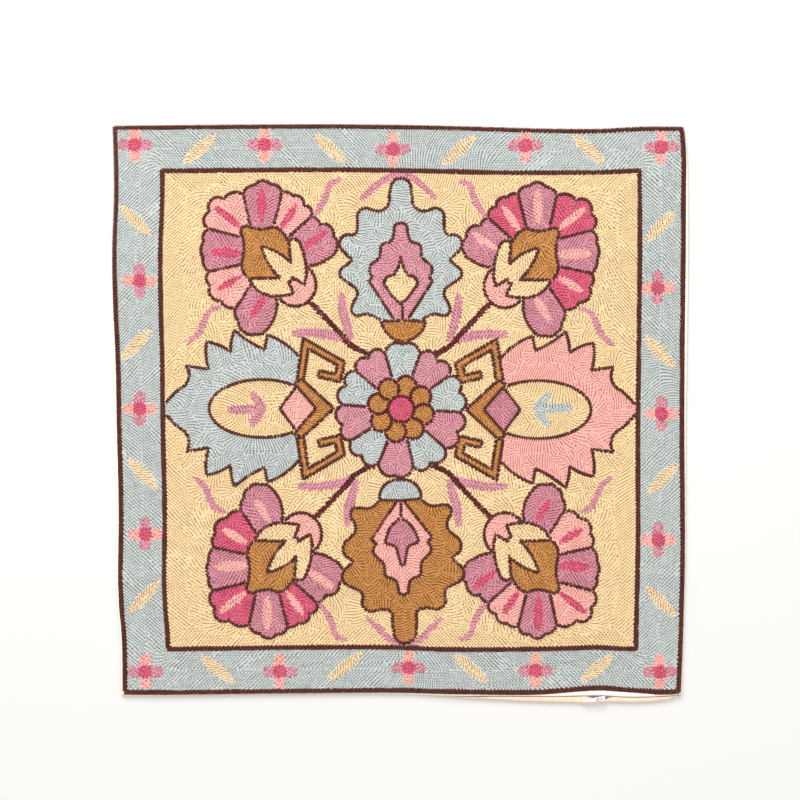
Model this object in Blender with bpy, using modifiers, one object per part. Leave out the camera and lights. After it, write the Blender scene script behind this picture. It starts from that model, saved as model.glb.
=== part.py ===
"""An empty square cushion cover, lying face up and flat.

Two cloths are sewn round their edges: a thick embroidered front, which rolls down to the seam, and a
thin cotton back, which lies on the floor. Along the right half of the lower side the back curls up
over the edge as a lip beside the zip. Metres, +Z up, and the cover's upper side in use is towards +Y.
"""

import math

import bpy
import numpy as np

MM = 0.001

# The cover's square
HALF = 226.0 * MM  # from the middle of the sewn square to its sides
MIDDLE_Y = 3.8 * MM  # the lip lengthens the cover towards -Y, so the square lies off the origin

# The cloths
FRONT_WALL = 2.0 * MM  # ground cloth with dense stitching
BACK_WALL = 1.0 * MM
SHEET_GAP = 0.3 * MM
EDGE_ROLL = 2.4 * MM  # radius with which the front turns down to the seam
BACK_INSET = 0.4 * MM  # the back's sides lie this far inside the front's

# The two creases of a cover that was folded in three, and how the cloth eases off beside them
CREASE_CREST = 2.5 * MM
CREASE_REACH = 9.0 * MM
CREASE_RISE = 1.3 * MM
CREASE_START = 5.0 * MM  # the creases reach their full rise this far inside the front's sides
BACK_CREASE_START = 12.0 * MM
BACK_CREASE_SHARE = 0.7  # the back is creased less than the front
CREASE_LEFT_RIGHT = ((122.8, 122.8), (-135.5, -131.6))  # mm from the square's middle, at its two sides

# The zip and the lip beside it
ZIP_LIFT = 1.3 * MM  # the front's seam stands this much higher beside the zip
ZIP_LIFT_REACH = 30.0 * MM  # and sinks back over this much of the other two sides
FULL_LIFT_WIDTH = 1.2 * MM  # beside a lip that is wider than this, the seam is at its full height
LIP_RADIUS = 1.3 * MM  # of the lip's middle surface
FULL_CURL_WIDTH = 2.5 * MM  # a lip that is wider than this is turned right over
FLAT_LIP = 0.5 * MM  # where there is no lip, the back's hem is this long past its flat part
FLATTEST_TURN = math.radians(2.0)
SHORTEST_RUN = 0.2 * MM
GROOVE = 0.5 * MM  # between the front's roll and the lip
SLIDER_GROOVE = 3.4 * MM  # the groove's width at the slider
SLIDER_X = 158.5 * MM
SLIDER_REACH = 7.0 * MM  # half the stretch that the slider parts
BULGE_X, BULGE_REACH, BULGE = 151.0 * MM, 9.0 * MM, 2.4 * MM  # where the slider pushes the lip out
CHAIN_WIDTH, CHAIN_HEIGHT, CHAIN_DOME = 2.8 * MM, 0.9 * MM, 0.1 * MM
CHAIN_FROM, CHAIN_TO = 80.0 * MM, 211.0 * MM

# The slider and its pull
SLIDER_LENGTH, SLIDER_WIDTH, SLIDER_PLATE = 8.6 * MM, 4.3 * MM, 0.9 * MM
SLIDER_TAIL = 0.72  # the plate's width at its tail, as a share of the width at its head
SLIDER_EDGE = 0.3 * MM
STEM_LENGTH, STEM_WIDTH, STEM_HEIGHT = 6.0 * MM, 2.0 * MM, 1.5 * MM
SLIDER_OUT = 2.45 * MM  # the slider's middle, outwards from the front's side
SLIDER_TILT = math.radians(5.0)
BAIL_WIRE = 0.4 * MM
BAIL_HALF, BAIL_HEIGHT = 2.5 * MM, 2.45 * MM
BAIL_STEPS, BAIL_SQUARENESS = 8, 0.7  # under 1, the loop's shoulders are fuller than a half circle's
PULL_LENGTH, PULL_WIDTH, PULL_NECK, PULL_PLATE = 15.4 * MM, 3.3 * MM, 2.9 * MM, 0.6 * MM
PULL_END = 0.9 * MM  # the pull's ring reaches this far past the slider's middle, under the bail
PULL_SLOT, PULL_SLOT_WIDTH, PULL_RIM = 3.4 * MM, 1.5 * MM, 1.1 * MM
PULL_DIP = math.radians(3.0)
DROP_STEPS = 20

# How far each side of the front stands outside the square: (place along the side, outwards), in mm
TOP_SIDE = (
    (-226, -0.4), (-143, 0.4), (-48, 0.8), (16, 0.0), (64, -1.2),
    (127, -2.8), (159, -2.8), (191, -1.2), (226, -1.2),
)
BOTTOM_SIDE = (
    (-226, 0.9), (-191, 1.0), (-159, 0.6), (-80, -0.4), (0, -0.4), (32, 1.0),
    (80, 1.3), (127, 1.6), (159, 1.0), (180, 2.1), (197, 2.0), (226, 0.1),
)
LEFT_SIDE = (
    (-226, -4.6), (-175, -3.4), (-159, -1.8), (-143, -1.0), (-80, -1.0), (-16, 0.5),
    (47, 1.4), (79, 2.5), (127, 2.7), (174, 1.2), (206, 1.8), (226, 2.5),
)
RIGHT_SIDE = (
    (-226, -2.9), (-191, -1.2), (-159, -0.2), (-128, 0.7), (-16, 1.2),
    (47, 2.0), (95, 2.8), (174, 2.8), (206, 2.0), (226, -0.2),
)

# The lip: (place along the lower side, its width past the groove), in mm
LIP_WIDTH = (
    (-226, 0.1), (-200, 0.3), (20, 0.3), (56, 1.5), (80, 2.8), (111, 3.9),
    (132, 4.4), (172, 3.9), (203, 3.3), (213, 2.5), (221, 1.0), (226, 0.1),
)

# Soft folds of the front: (x, y, half length, half width, turned by in degrees, rise), in mm
SOFT_FOLDS = (
    (30, 181, 190, 11, 0, 0.7),
    (-150, 152, 34, 10, 40, 0.6),
    (136, 52, 60, 12, -4, 0.7),
    (118, -26, 55, 12, 6, 0.6),
    (-110, -20, 50, 15, 8, 0.5),
    (-150, -118, 60, 24, 0, 0.5),
    (140, 207, 60, 9, 0, 0.3),
    (10, -180, 120, 16, 3, 0.3),
    (-40, 70, 60, 22, -20, 0.4),
)
FOLDS_START = 20.0 * MM  # the soft folds reach their full rise this far inside the sides

# Rows of points, in mm: near a side by its distance to it, near a crease by the distance to its line
SIDE_ROWS = (0.0, 0.32, 1.2, 2.4, 5.0, 10.0, 17.0)
BACK_SIDE_ROWS = (0.0, 1.2, 6.0)
CREASE_ROWS = (-9.0, -3.5, 0.0, 3.5, 9.0)
FRONT_SPACING, BACK_SPACING = 17.5 * MM, 30.0 * MM
ZIP_COLUMNS = (40, 58, 72, 86, 112, 128, 138, 144, 149, 153, 156, 161, 164, 168, 174, 190, 204, 212)
LIP_ARC_STEPS, LIP_RUN_STEPS = 6, 2
CHAIN_SPACING = 11.0 * MM
CHAIN_ROWS = (-1.0, -0.7, 0.0, 0.7, 1.0)  # across the chain, as shares of half its width
BACK_LOWER_ROWS = (0.0, 6.0)
WELD = 0.01 * MM
SHARP_FROM = math.radians(50.0)


def clear_scene():
    """Empties the scene that the script starts in."""
    for old in list(bpy.data.objects):
        bpy.data.objects.remove(old, do_unlink=True)


def collection(name):
    """A new collection in the scene."""
    made = bpy.data.collections.new(name)
    bpy.context.scene.collection.children.link(made)
    return made


def finish(name, colour, roughness, metallic=0.0):
    """A plain Principled material."""
    made = bpy.data.materials.new(name)
    made.use_nodes = True
    shader = made.node_tree.nodes["Principled BSDF"]
    shader.inputs["Base Color"].default_value = (*colour, 1.0)
    shader.inputs["Roughness"].default_value = roughness
    shader.inputs["Metallic"].default_value = metallic
    made.diffuse_color = (*colour, 1.0)
    return made


def eased(share):
    """0 up to a share of 0, 1 from a share of 1, and a smooth rise between."""
    share = min(max(share, 0.0), 1.0)
    return share * share * (3.0 - 2.0 * share)


def between(low, high, share):
    """The value this share of the way from low to high."""
    return low + (high - low) * share


def through(table, place):
    """The value in metres of a smooth line through a table's rows, at a place in metres."""
    places, values = np.array(table, dtype=float).T
    slopes = np.gradient(values, places)
    at = place / MM
    i = int(np.clip(np.searchsorted(places, at) - 1, 0, len(places) - 2))
    step = places[i + 1] - places[i]
    t = min(max((at - places[i]) / step, 0.0), 1.0)
    rest = 1.0 - t
    start = rest * rest * ((1.0 + 2.0 * t) * values[i] + t * step * slopes[i])
    end = t * t * ((3.0 - 2.0 * t) * values[i + 1] - rest * step * slopes[i + 1])
    return (start + end) * MM


def lip_width(along):
    """How far the lip reaches past the groove. The slider pushes it out a little."""
    bulge = BULGE * math.exp(-(((along - BULGE_X) / BULGE_REACH) ** 2))
    return max(through(LIP_WIDTH, along), 0.0) + bulge


def groove(along):
    """The groove's width, which opens round the slider."""
    opened = math.exp(-(((along - SLIDER_X) / SLIDER_REACH) ** 4))
    return GROOVE + (SLIDER_GROOVE - GROOVE) * opened


def crease(x, y):
    """How high a crease lifts the cloth at a point, from 0 to CREASE_RISE."""
    side = 0.5 + x / (2.0 * HALF)
    rise = 0.0
    for left, right in CREASE_LEFT_RIGHT:
        off = y - MIDDLE_Y - between(left, right, side) * MM
        slant = math.hypot(off, CREASE_CREST) - CREASE_CREST
        rise += CREASE_RISE * math.exp(-slant / CREASE_REACH)
    return rise


def soft_folds(x, y):
    """The height of the broad folds at a point."""
    rise = 0.0
    for fold_x, fold_y, length, width, turned, high in SOFT_FOLDS:
        turn = math.radians(turned)
        off_x, off_y = x / MM - fold_x, y / MM - fold_y
        along = off_x * math.cos(turn) + off_y * math.sin(turn)
        across = off_y * math.cos(turn) - off_x * math.sin(turn)
        rise += high * MM * math.exp(-((along / length) ** 2) - (across / width) ** 2)
    return rise


def seam_height(x, side_y):
    """The height of the front's lower edge at a column, this far from the lower side."""
    lift = ZIP_LIFT * eased(lip_width(x) / FULL_LIFT_WIDTH)
    return BACK_WALL + SHEET_GAP + lift * (1.0 - eased(side_y / ZIP_LIFT_REACH))


def front_lower_side(x):
    """Where the front's lower side lies, from the square's middle."""
    return -HALF - through(BOTTOM_SIDE, x)


def in_square(column, row, inset=0.0, lower_side=front_lower_side):
    """The place of a point of the flat square on the uneven one."""
    left = -HALF - through(LEFT_SIDE, row) + inset
    right = HALF + through(RIGHT_SIDE, row) - inset
    x = between(left, right, 0.5 + column / (2.0 * HALF))
    top = HALF + through(TOP_SIDE, x) - inset
    y = between(lower_side(x), top, 0.5 + row / (2.0 * HALF))
    return x, y + MIDDLE_Y


def front_point(column, row, inner):
    """A point of the front's outer face, or of its inner face, which has a tighter roll."""
    side_x, side_y = HALF - abs(column), HALF - abs(row)
    in_x, in_y = max(0.0, EDGE_ROLL - side_x), max(0.0, EDGE_ROLL - side_y)
    rolled = min(max(in_x, in_y), EDGE_ROLL)
    round_corner = rolled / math.hypot(in_x, in_y) if in_x > 0.0 and in_y > 0.0 else 1.0
    share = (EDGE_ROLL - FRONT_WALL) / EDGE_ROLL if inner else 1.0
    column += math.copysign(in_x, column) * (round_corner * share - 1.0)
    row += math.copysign(in_y, row) * (round_corner * share - 1.0)
    x, y = in_square(column, row)
    side = min(side_x, side_y)
    lower = side_y if row < 0.0 else 2.0 * HALF - side_y
    z = seam_height(x, lower) + share * math.sqrt(max(EDGE_ROLL**2 - rolled**2, 0.0))
    z += soft_folds(x, y) * eased(side / FOLDS_START)
    z += crease(x, y) * eased(side / CREASE_START)
    return x, y, z


def lip_shape(along):
    """(turn, arc length, straight run) of the lip at a column."""
    width = lip_width(along)
    curl = eased(width / FULL_CURL_WIDTH)
    room = width + GROOVE - groove(along) - LIP_RADIUS - BACK_WALL / 2
    turn = max(math.pi * curl, FLATTEST_TURN)
    arc = between(FLAT_LIP, math.pi * LIP_RADIUS, curl)
    run = between(SHORTEST_RUN, max(room, SHORTEST_RUN), curl)
    return turn, arc, run


def lip_step(along, arc_share, run_share):
    """(outwards, up, slant) of the lip's middle surface, from the end of the back's flat part."""
    turn, arc, run = lip_shape(along)
    radius = arc / turn
    slant = turn * arc_share
    outwards = radius * math.sin(slant) + run * run_share * math.cos(slant)
    up = radius * (1.0 - math.cos(slant)) + run * run_share * math.sin(slant)
    return outwards, up, slant


def lip_extent(along):
    """How far the lip's outer face reaches past the end of the back's flat part."""
    turn, arc, _ = lip_shape(along)
    if turn > math.pi / 2:
        return arc / turn + BACK_WALL / 2
    outwards, _, slant = lip_step(along, 1.0, 1.0)
    return outwards + BACK_WALL / 2 * math.sin(slant)


def lip_start(x):
    """Where the back's flat part ends and its lip starts, from the square's middle."""
    return front_lower_side(x) - GROOVE - lip_width(x) + lip_extent(x)


def back_point(column, row, upper):
    """A point of the back's upper or lower face. A row of the lip is (share of its arc, of its run)."""
    half_wall = BACK_WALL / 2 if upper else -BACK_WALL / 2
    if isinstance(row, tuple):
        x, y = in_square(column, -HALF, BACK_INSET, lip_start)
        outwards, up, slant = lip_step(x, *row)
        y -= outwards - half_wall * math.sin(slant)
        z = BACK_WALL / 2 + up + half_wall * math.cos(slant)
    else:
        x, y = in_square(column, row, BACK_INSET, lip_start)
        lift = BACK_CREASE_SHARE * crease(x, y)
        z = BACK_WALL / 2 + half_wall + lift * eased((HALF - abs(column)) / BACK_CREASE_START)
    return x, y, z


def rows_between(start, end, near_start, near_end, extra, spacing):
    """Places from start to end: close together near both ends, at extra places, and evenly between."""
    fixed = [start + off * MM for off in near_start] + [end - off * MM for off in near_end]
    fixed = sorted(fixed + list(extra))
    places = []
    for low, high in zip(fixed, fixed[1:]):
        steps = max(1, round((high - low) / spacing))
        places += [between(low, high, step / steps) for step in range(steps)]
    return places + [fixed[-1]]


def cloth(name, columns, rows, upper, lower, material, group):
    """A closed sheet: a grid with a wall under it, whose two faces are placed by two functions."""
    bpy.ops.mesh.primitive_grid_add(x_subdivisions=len(columns) - 1, y_subdivisions=len(rows) - 1)
    sheet = bpy.context.object
    sheet.name = sheet.data.name = name
    wall = sheet.modifiers.new("Wall", "SOLIDIFY")
    wall.thickness = BACK_WALL
    wall.offset = -1.0
    bpy.ops.object.modifier_apply(modifier=wall.name)
    one_face = len(columns) * len(rows)
    for vertex in sheet.data.vertices:
        row, column = divmod(vertex.index % one_face, len(columns))
        place = upper if vertex.index < one_face else lower
        vertex.co = place(columns[column], rows[row])
    sheet.data.materials.append(material)
    sheet.data.shade_smooth()
    sheet.data.set_sharp_from_angle(angle=SHARP_FROM)
    move_to(sheet, group)
    return sheet


def move_to(thing, group):
    """Takes an object out of its collections and puts it in one."""
    for owner in list(thing.users_collection):
        owner.objects.unlink(thing)
    group.objects.link(thing)


def crease_rows():
    """Rows beside the two creases. A row is level, so a slanting crease has it at its mean height."""
    found = []
    for left, right in CREASE_LEFT_RIGHT:
        found += [((left + right) / 2 + off) * MM for off in CREASE_ROWS]
    return found


def front_panel(group):
    """The embroidered cloth, which rolls down to the seam on all four sides."""
    columns = rows_between(-HALF, HALF, SIDE_ROWS, SIDE_ROWS, [], FRONT_SPACING)
    rows = rows_between(-HALF, HALF, SIDE_ROWS, SIDE_ROWS, crease_rows(), FRONT_SPACING)
    wool = finish("embroidered cloth", (0.83, 0.66, 0.42), 0.9)
    cloth(
        "front_panel", columns, rows,
        lambda column, row: front_point(column, row, False),
        lambda column, row: front_point(column, row, True),
        wool, group,
    )


def back_panel(group):
    """The plain cotton cloth with the lip that curls over beside the zip."""
    extra = [place * MM for place in ZIP_COLUMNS]
    columns = rows_between(-HALF, HALF, BACK_SIDE_ROWS, BACK_SIDE_ROWS, extra, BACK_SPACING)
    flat = rows_between(-HALF, HALF, BACK_LOWER_ROWS, BACK_SIDE_ROWS, crease_rows(), BACK_SPACING)
    run = [(1.0, (step + 1) / LIP_RUN_STEPS) for step in range(LIP_RUN_STEPS)]
    arc = [((step + 1) / LIP_ARC_STEPS, 0.0) for step in range(LIP_ARC_STEPS)]
    rows = (arc + run)[::-1] + flat
    cotton = finish("plain cotton", (0.90, 0.72, 0.53), 0.85)
    cloth(
        "back_panel", columns, rows,
        lambda column, row: back_point(column, row, True),
        lambda column, row: back_point(column, row, False),
        cotton, group,
    )


def zip_chain(group):
    """The zip's closed coil, a flat ribbon under the groove."""
    def point(x, row, height):
        groove_y = MIDDLE_Y + front_lower_side(x) - GROOVE / 2
        return x, groove_y + row * CHAIN_WIDTH / 2, height + CHAIN_DOME * (1.0 - row * row)
    steps = round((CHAIN_TO - CHAIN_FROM) / CHAIN_SPACING)
    columns = [between(CHAIN_FROM, CHAIN_TO, step / steps) for step in range(steps + 1)]
    foot = BACK_WALL + SHEET_GAP
    nylon = finish("zip coil", (0.86, 0.78, 0.70), 0.5)
    cloth(
        "zip_chain", columns, CHAIN_ROWS,
        lambda column, row: point(column, row, foot + CHAIN_HEIGHT),
        lambda column, row: point(column, row, foot),
        nylon, group,
    )


def box(name, size, middle):
    """A box of a size about a place."""
    bpy.ops.mesh.primitive_cube_add(size=1.0, location=middle, scale=size)
    made = bpy.context.object
    made.name = name
    bpy.ops.object.transform_apply(location=True, rotation=False, scale=True)
    return made


def as_mesh(curve):
    """A mesh object in a curve's place, with the loose caps welded on."""
    mesh = bpy.data.meshes.new_from_object(curve.evaluated_get(bpy.context.evaluated_depsgraph_get()))
    made = bpy.data.objects.new(curve.name, mesh)
    made.matrix_world = curve.matrix_world
    bpy.context.scene.collection.objects.link(made)
    weld = made.modifiers.new("Caps", "WELD")
    weld.merge_threshold = WELD
    bpy.context.view_layer.objects.active = made
    bpy.ops.object.modifier_apply(modifier=weld.name)
    bpy.data.objects.remove(curve, do_unlink=True)
    return made


def bail_wire():
    """The wire loop on the slider that holds the pull."""
    line = bpy.data.curves.new("bail", "CURVE")
    line.dimensions = "3D"
    line.bevel_depth = BAIL_WIRE
    line.bevel_resolution = 2
    line.use_fill_caps = True
    loop = line.splines.new("POLY")
    loop.points.add(BAIL_STEPS)
    for step, point in enumerate(loop.points):
        turn = math.pi * step / BAIL_STEPS
        up = BAIL_HEIGHT * abs(math.sin(turn)) ** BAIL_SQUARENESS
        point.co = (-BAIL_HALF * math.cos(turn), 0.0, up, 1.0)
    wire = bpy.data.objects.new("bail", line)
    bpy.context.scene.collection.objects.link(wire)
    bpy.context.view_layer.update()
    return as_mesh(wire)


def joined(body, tools, cutters):
    """The body with other shapes united to it. The shapes go to the cutters' collection."""
    bpy.context.view_layer.objects.active = body
    for tool in tools:
        union = body.modifiers.new(tool.name, "BOOLEAN")
        union.operation = "UNION"
        union.object = tool
        bpy.ops.object.modifier_apply(modifier=union.name)
        tool.hide_render = True
        tool.display_type = "WIRE"
        move_to(tool, cutters)


def slider_place():
    """Where the slider's plate stands: over the lip, with its stem in the groove."""
    side = MIDDLE_Y + front_lower_side(SLIDER_X)
    over_lip = BACK_WALL + 2.0 * LIP_RADIUS + SHEET_GAP
    return SLIDER_X, side - SLIDER_OUT, over_lip


def zip_slider(group, cutters):
    """The slider: a plate over the lip, a stem in the groove and the bail above."""
    x, y, foot = slider_place()
    plate = box("zip_slider", (SLIDER_LENGTH, SLIDER_WIDTH, SLIDER_PLATE), (0, 0, SLIDER_PLATE / 2))
    for vertex in plate.data.vertices:
        if vertex.co.x < 0.0:
            vertex.co.y *= SLIDER_TAIL
    rounded = plate.modifiers.new("Rounded", "BEVEL")
    rounded.width = SLIDER_EDGE
    rounded.segments = 2
    bpy.ops.object.modifier_apply(modifier=rounded.name)
    stem_y = SLIDER_OUT - SLIDER_GROOVE / 2
    stem_z = SLIDER_PLATE / 2 - STEM_HEIGHT / 2
    stem = box("stem", (STEM_LENGTH, STEM_WIDTH, STEM_HEIGHT), (0, stem_y, stem_z))
    wire = bail_wire()
    wire.location.z = SLIDER_PLATE - BAIL_WIRE
    bpy.context.view_layer.update()
    joined(plate, (stem, wire), cutters)
    plate.location = (x, y, foot)
    plate.rotation_euler.z = SLIDER_TILT
    plate.data.materials.clear()
    plate.data.materials.append(finish("nickel plate", (0.75, 0.74, 0.78), 0.25, 1.0))
    move_to(plate, group)


def drop_outline(half_width, from_x, to_x, corner):
    """A drop lying along X: narrow at from_x and round at to_x, as (x, y) points."""
    points = []
    for step in range(DROP_STEPS):
        turn = 2.0 * math.pi * step / DROP_STEPS
        along = 0.5 + 0.5 * math.cos(turn)
        widen = between(1.0, corner, along)
        points.append((between(to_x, from_x, along), half_width * widen * math.sin(turn)))
    return points


def zip_pull(group):
    """The pull: a flat drop with a slot, through which the bail passes, lying along the lip."""
    x, y, foot = slider_place()
    outline = bpy.data.curves.new("zip_pull", "CURVE")
    outline.dimensions = "2D"
    outline.fill_mode = "BOTH"
    outline.extrude = PULL_PLATE / 2
    slot_end = PULL_END - PULL_RIM
    rings = (
        drop_outline(PULL_WIDTH / 2, PULL_END, PULL_END - PULL_LENGTH, PULL_NECK / PULL_WIDTH),
        drop_outline(PULL_SLOT_WIDTH / 2, slot_end, slot_end - PULL_SLOT, 1.0),
    )
    for ring in rings:
        line = outline.splines.new("POLY")
        line.points.add(len(ring) - 1)
        line.use_cyclic_u = True
        for point, (along, across) in zip(line.points, ring):
            point.co = (along, across, 0.0, 1.0)
    flat = bpy.data.objects.new("zip_pull", outline)
    bpy.context.scene.collection.objects.link(flat)
    pull = as_mesh(flat)
    pull.name = pull.data.name = "zip_pull"
    over_plate = SLIDER_PLATE + SHEET_GAP + SLIDER_LENGTH / 2 * math.sin(PULL_DIP)
    pull.location = (x, y, foot + over_plate + PULL_PLATE / 2)
    pull.rotation_euler = (0.0, -PULL_DIP, SLIDER_TILT)
    pull.data.materials.append(finish("pale enamel", (0.86, 0.79, 0.86), 0.4))
    move_to(pull, group)


def build():
    """Makes every piece of the cover."""
    clear_scene()
    group = collection("cushion_cover")
    cutters = collection("cutters")
    front_panel(group)
    back_panel(group)
    zip_chain(group)
    zip_slider(group, cutters)
    zip_pull(group)


build()
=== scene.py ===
"""The looks of an empty cushion cover that lies face up on a pale floor.

The front is chain stitched all over, and each link of the chain is a small solid. The stitches follow a
pattern of shapes: a line of brown links runs round most shapes, and rows of fill links echo the lines.
Sizes are in mm and places are taken from the middle of the cover's square, until a mesh is made.
"""

import math

import bpy
import numpy as np
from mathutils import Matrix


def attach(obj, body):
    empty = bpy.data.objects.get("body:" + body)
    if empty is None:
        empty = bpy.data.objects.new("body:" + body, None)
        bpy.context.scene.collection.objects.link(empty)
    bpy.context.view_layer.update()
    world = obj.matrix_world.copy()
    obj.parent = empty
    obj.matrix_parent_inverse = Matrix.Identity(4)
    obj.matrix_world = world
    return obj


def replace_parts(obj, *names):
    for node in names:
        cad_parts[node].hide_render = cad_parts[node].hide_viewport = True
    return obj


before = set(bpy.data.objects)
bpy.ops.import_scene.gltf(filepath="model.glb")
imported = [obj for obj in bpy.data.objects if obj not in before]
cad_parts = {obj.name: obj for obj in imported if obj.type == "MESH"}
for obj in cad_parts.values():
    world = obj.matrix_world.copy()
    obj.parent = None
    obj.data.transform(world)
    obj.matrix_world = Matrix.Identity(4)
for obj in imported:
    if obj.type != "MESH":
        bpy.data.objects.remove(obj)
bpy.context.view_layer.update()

MM = 0.001
SEED = 11

# The cover's square and cloths, as in the solids
HALF = 226.0
MIDDLE_Y = 3.8
BACK_WALL = 1.0
SHEET_GAP = 0.3
EDGE_ROLL = 2.4
BACK_INSET = 0.4
CREASE_CREST, CREASE_REACH, CREASE_RISE, CREASE_START = 2.5, 9.0, 1.3, 5.0
BACK_CREASE_START, BACK_CREASE_SHARE = 12.0, 0.7
CREASE_LEFT_RIGHT = ((122.8, 122.8), (-135.5, -131.6))
ZIP_LIFT, ZIP_LIFT_REACH, FULL_LIFT_WIDTH = 1.3, 30.0, 1.2
LIP_RADIUS, FULL_CURL_WIDTH, FLAT_LIP = 1.3, 2.5, 0.5
FLATTEST_TURN = math.radians(2.0)
SHORTEST_RUN = 0.2
GROOVE, SLIDER_GROOVE, SLIDER_X, SLIDER_REACH = 0.5, 3.4, 158.5, 7.0
BULGE_X, BULGE_REACH, BULGE = 151.0, 9.0, 2.4
CHAIN_WIDTH, CHAIN_HEIGHT, CHAIN_FROM, CHAIN_TO = 2.8, 0.75, 80.0, 211.0
FOLDS_START = 20.0

# How far each side of the front stands outside the square: (place along the side, outwards)
TOP_SIDE = (
    (-226, -0.4), (-143, 0.4), (-48, 0.8), (16, 0.0), (64, -1.2),
    (127, -2.8), (159, -2.8), (191, -1.2), (226, -1.2),
)
BOTTOM_SIDE = (
    (-226, 0.9), (-191, 1.0), (-159, 0.6), (-80, -0.4), (0, -0.4), (32, 1.0),
    (80, 1.3), (127, 1.6), (159, 1.0), (180, 2.1), (197, 2.0), (226, 0.1),
)
LEFT_SIDE = (
    (-226, -4.6), (-175, -3.4), (-159, -1.8), (-143, -1.0), (-80, -1.0), (-16, 0.5),
    (47, 1.4), (79, 2.5), (127, 2.7), (174, 1.2), (206, 1.8), (226, 2.5),
)
RIGHT_SIDE = (
    (-226, -2.9), (-191, -1.2), (-159, -0.2), (-128, 0.7), (-16, 1.2),
    (47, 2.0), (95, 2.8), (174, 2.8), (206, 2.0), (226, -0.2),
)

# The lip: (place along the lower side, its width past the groove)
LIP_WIDTH = (
    (-226, 0.1), (-200, 0.3), (20, 0.3), (56, 1.5), (80, 2.8), (111, 3.9),
    (132, 4.4), (172, 3.9), (203, 3.3), (213, 2.5), (221, 1.0), (226, 0.1),
)

# Soft folds of the front: (x, y, half length, half width, turned by in degrees, rise)
SOFT_FOLDS = (
    (30, 181, 190, 11, 0, 0.7),
    (-150, 152, 34, 10, 40, 0.6),
    (136, 52, 60, 12, -4, 0.7),
    (118, -26, 55, 12, 6, 0.6),
    (-110, -20, 50, 15, 8, 0.5),
    (-150, -118, 60, 24, 0, 0.5),
    (140, 207, 60, 9, 0, 0.3),
    (10, -180, 120, 16, 3, 0.3),
    (-40, 70, 60, 22, -20, 0.4),
)

# The plain margin outside the brown edge: (place along the side, margin)
LEFT_MARGIN = ((-226, 1.6), (60, 1.5), (79, 1.2), (127, 0.3), (226, 0.3))
RIGHT_MARGIN = ((-226, 0.6), (-190, 0.7), (-128, 1.0), (-70, 1.4), (206, 1.4), (226, 0.8))
TOP_MARGIN = ((-226, 0.3), (226, 0.3))
BOTTOM_MARGIN = (
    (-226, 0.8), (0, 1.0), (32, 1.7), (111, 1.9), (128, 3.1), (195, 3.1), (204, 2.0), (226, 0.8),
)
FRAME_LINE = 189.3  # half the side of the inner brown frame

# The stitches
ROW_PITCH = 1.95  # between two rows of fill
LINK = 2.0  # length of a fill link
LINE_LINK = 1.9  # and of a line's link
LINE_HALF = 1.2  # half the width of a single brown line
DOUBLE_HALF = 1.8  # and of a double one
DOUBLE_OFFSET = 0.9  # of each row of a double line from its middle
FILL_RISE, PLAIN_RISE, LINE_RISE = 0.7, 0.85, 1.05  # how high the links stand over the ground cloth
STITCH_BED = 0.8  # the ground cloth lies this far under the solid's surface
GRID = 0.5  # the squares in which the pattern is worked out
REACH = 230.0
WAVE, WAVE_CELL = 0.5, 11.0  # how far rows stray from even echoes, and over what distance
SLANT, SLANT_CELL = 1.6, 42.0  # how far the ranks of links lean to their rows, and over what distance
SLANT_REACH = 70.0  # past this ranks lean forwards in two quarters of the cover and back in two
LINE_SLANT = 0.7  # which makes a line look like twisted cord
MOST_LINKS = 12000  # in one piece

# Thread colours: (light, dark) in sRGB. The dark colour is painted shade low down between links, and also
# the dark end of each link's own tone
THREADS = {
    "pale_yellow": ("f1d2a4", "cfae80"),
    "blue": ("c4cac7", "9c9f9b"),
    "brown": ("6c392f", "160505"),
    "pink": ("f5b4a9", "d2928a"),
    "deep_pink": ("d897a3", "a66c72"),
    "mauve": ("d28d9b", "9c6068"),
    "magenta": ("da607c", "a03c50"),
    "ochre": ("c98c4c", "84542a"),
    "lilac": ("d898a2", "a86e76"),
    "maroon": ("6e2c2e", "1c0505"),
    "warm_yellow": ("ecd4ae", "c4a680"),
}
NAMES = list(THREADS)


# Shape of the cloths


def eased(share):
    """0 up to a share of 0, 1 from a share of 1, and a smooth rise between."""
    share = np.clip(share, 0.0, 1.0)
    return share * share * (3.0 - 2.0 * share)


def between(low, high, share):
    """The value this share of the way from low to high."""
    return low + (high - low) * share


def through(table, place):
    """The value of a smooth line through a table's rows, at each place."""
    places, values = np.array(table, dtype=float).T
    slopes = np.gradient(values, places)
    i = np.clip(np.searchsorted(places, place) - 1, 0, len(places) - 2)
    step = places[i + 1] - places[i]
    t = np.clip((place - places[i]) / step, 0.0, 1.0)
    rest = 1.0 - t
    start = rest * rest * ((1.0 + 2.0 * t) * values[i] + t * step * slopes[i])
    end = t * t * ((3.0 - 2.0 * t) * values[i + 1] - rest * step * slopes[i + 1])
    return start + end


def left_side(row):
    """Where the front's left side lies."""
    return -HALF - through(LEFT_SIDE, row)


def right_side(row):
    """Where the front's right side lies."""
    return HALF + through(RIGHT_SIDE, row)


def top_side(x):
    """Where the front's upper side lies."""
    return HALF + through(TOP_SIDE, x)


def lower_side(x):
    """Where the front's lower side lies."""
    return -HALF - through(BOTTOM_SIDE, x)


def lying(column, row, inset=0.0, lower=lower_side):
    """The place of a point of the even square on the uneven one."""
    left, right = left_side(row) + inset, right_side(row) - inset
    x = between(left, right, 0.5 + column / (2.0 * HALF))
    y = between(lower(x), top_side(x) - inset, 0.5 + row / (2.0 * HALF))
    return x, y


def in_square(x, y):
    """The column and row of a place on the uneven square."""
    row = (y - lower_side(x)) / (top_side(x) - lower_side(x)) * 2.0 * HALF - HALF
    left, right = left_side(row), right_side(row)
    return (x - left) / (right - left) * 2.0 * HALF - HALF, row


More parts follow.
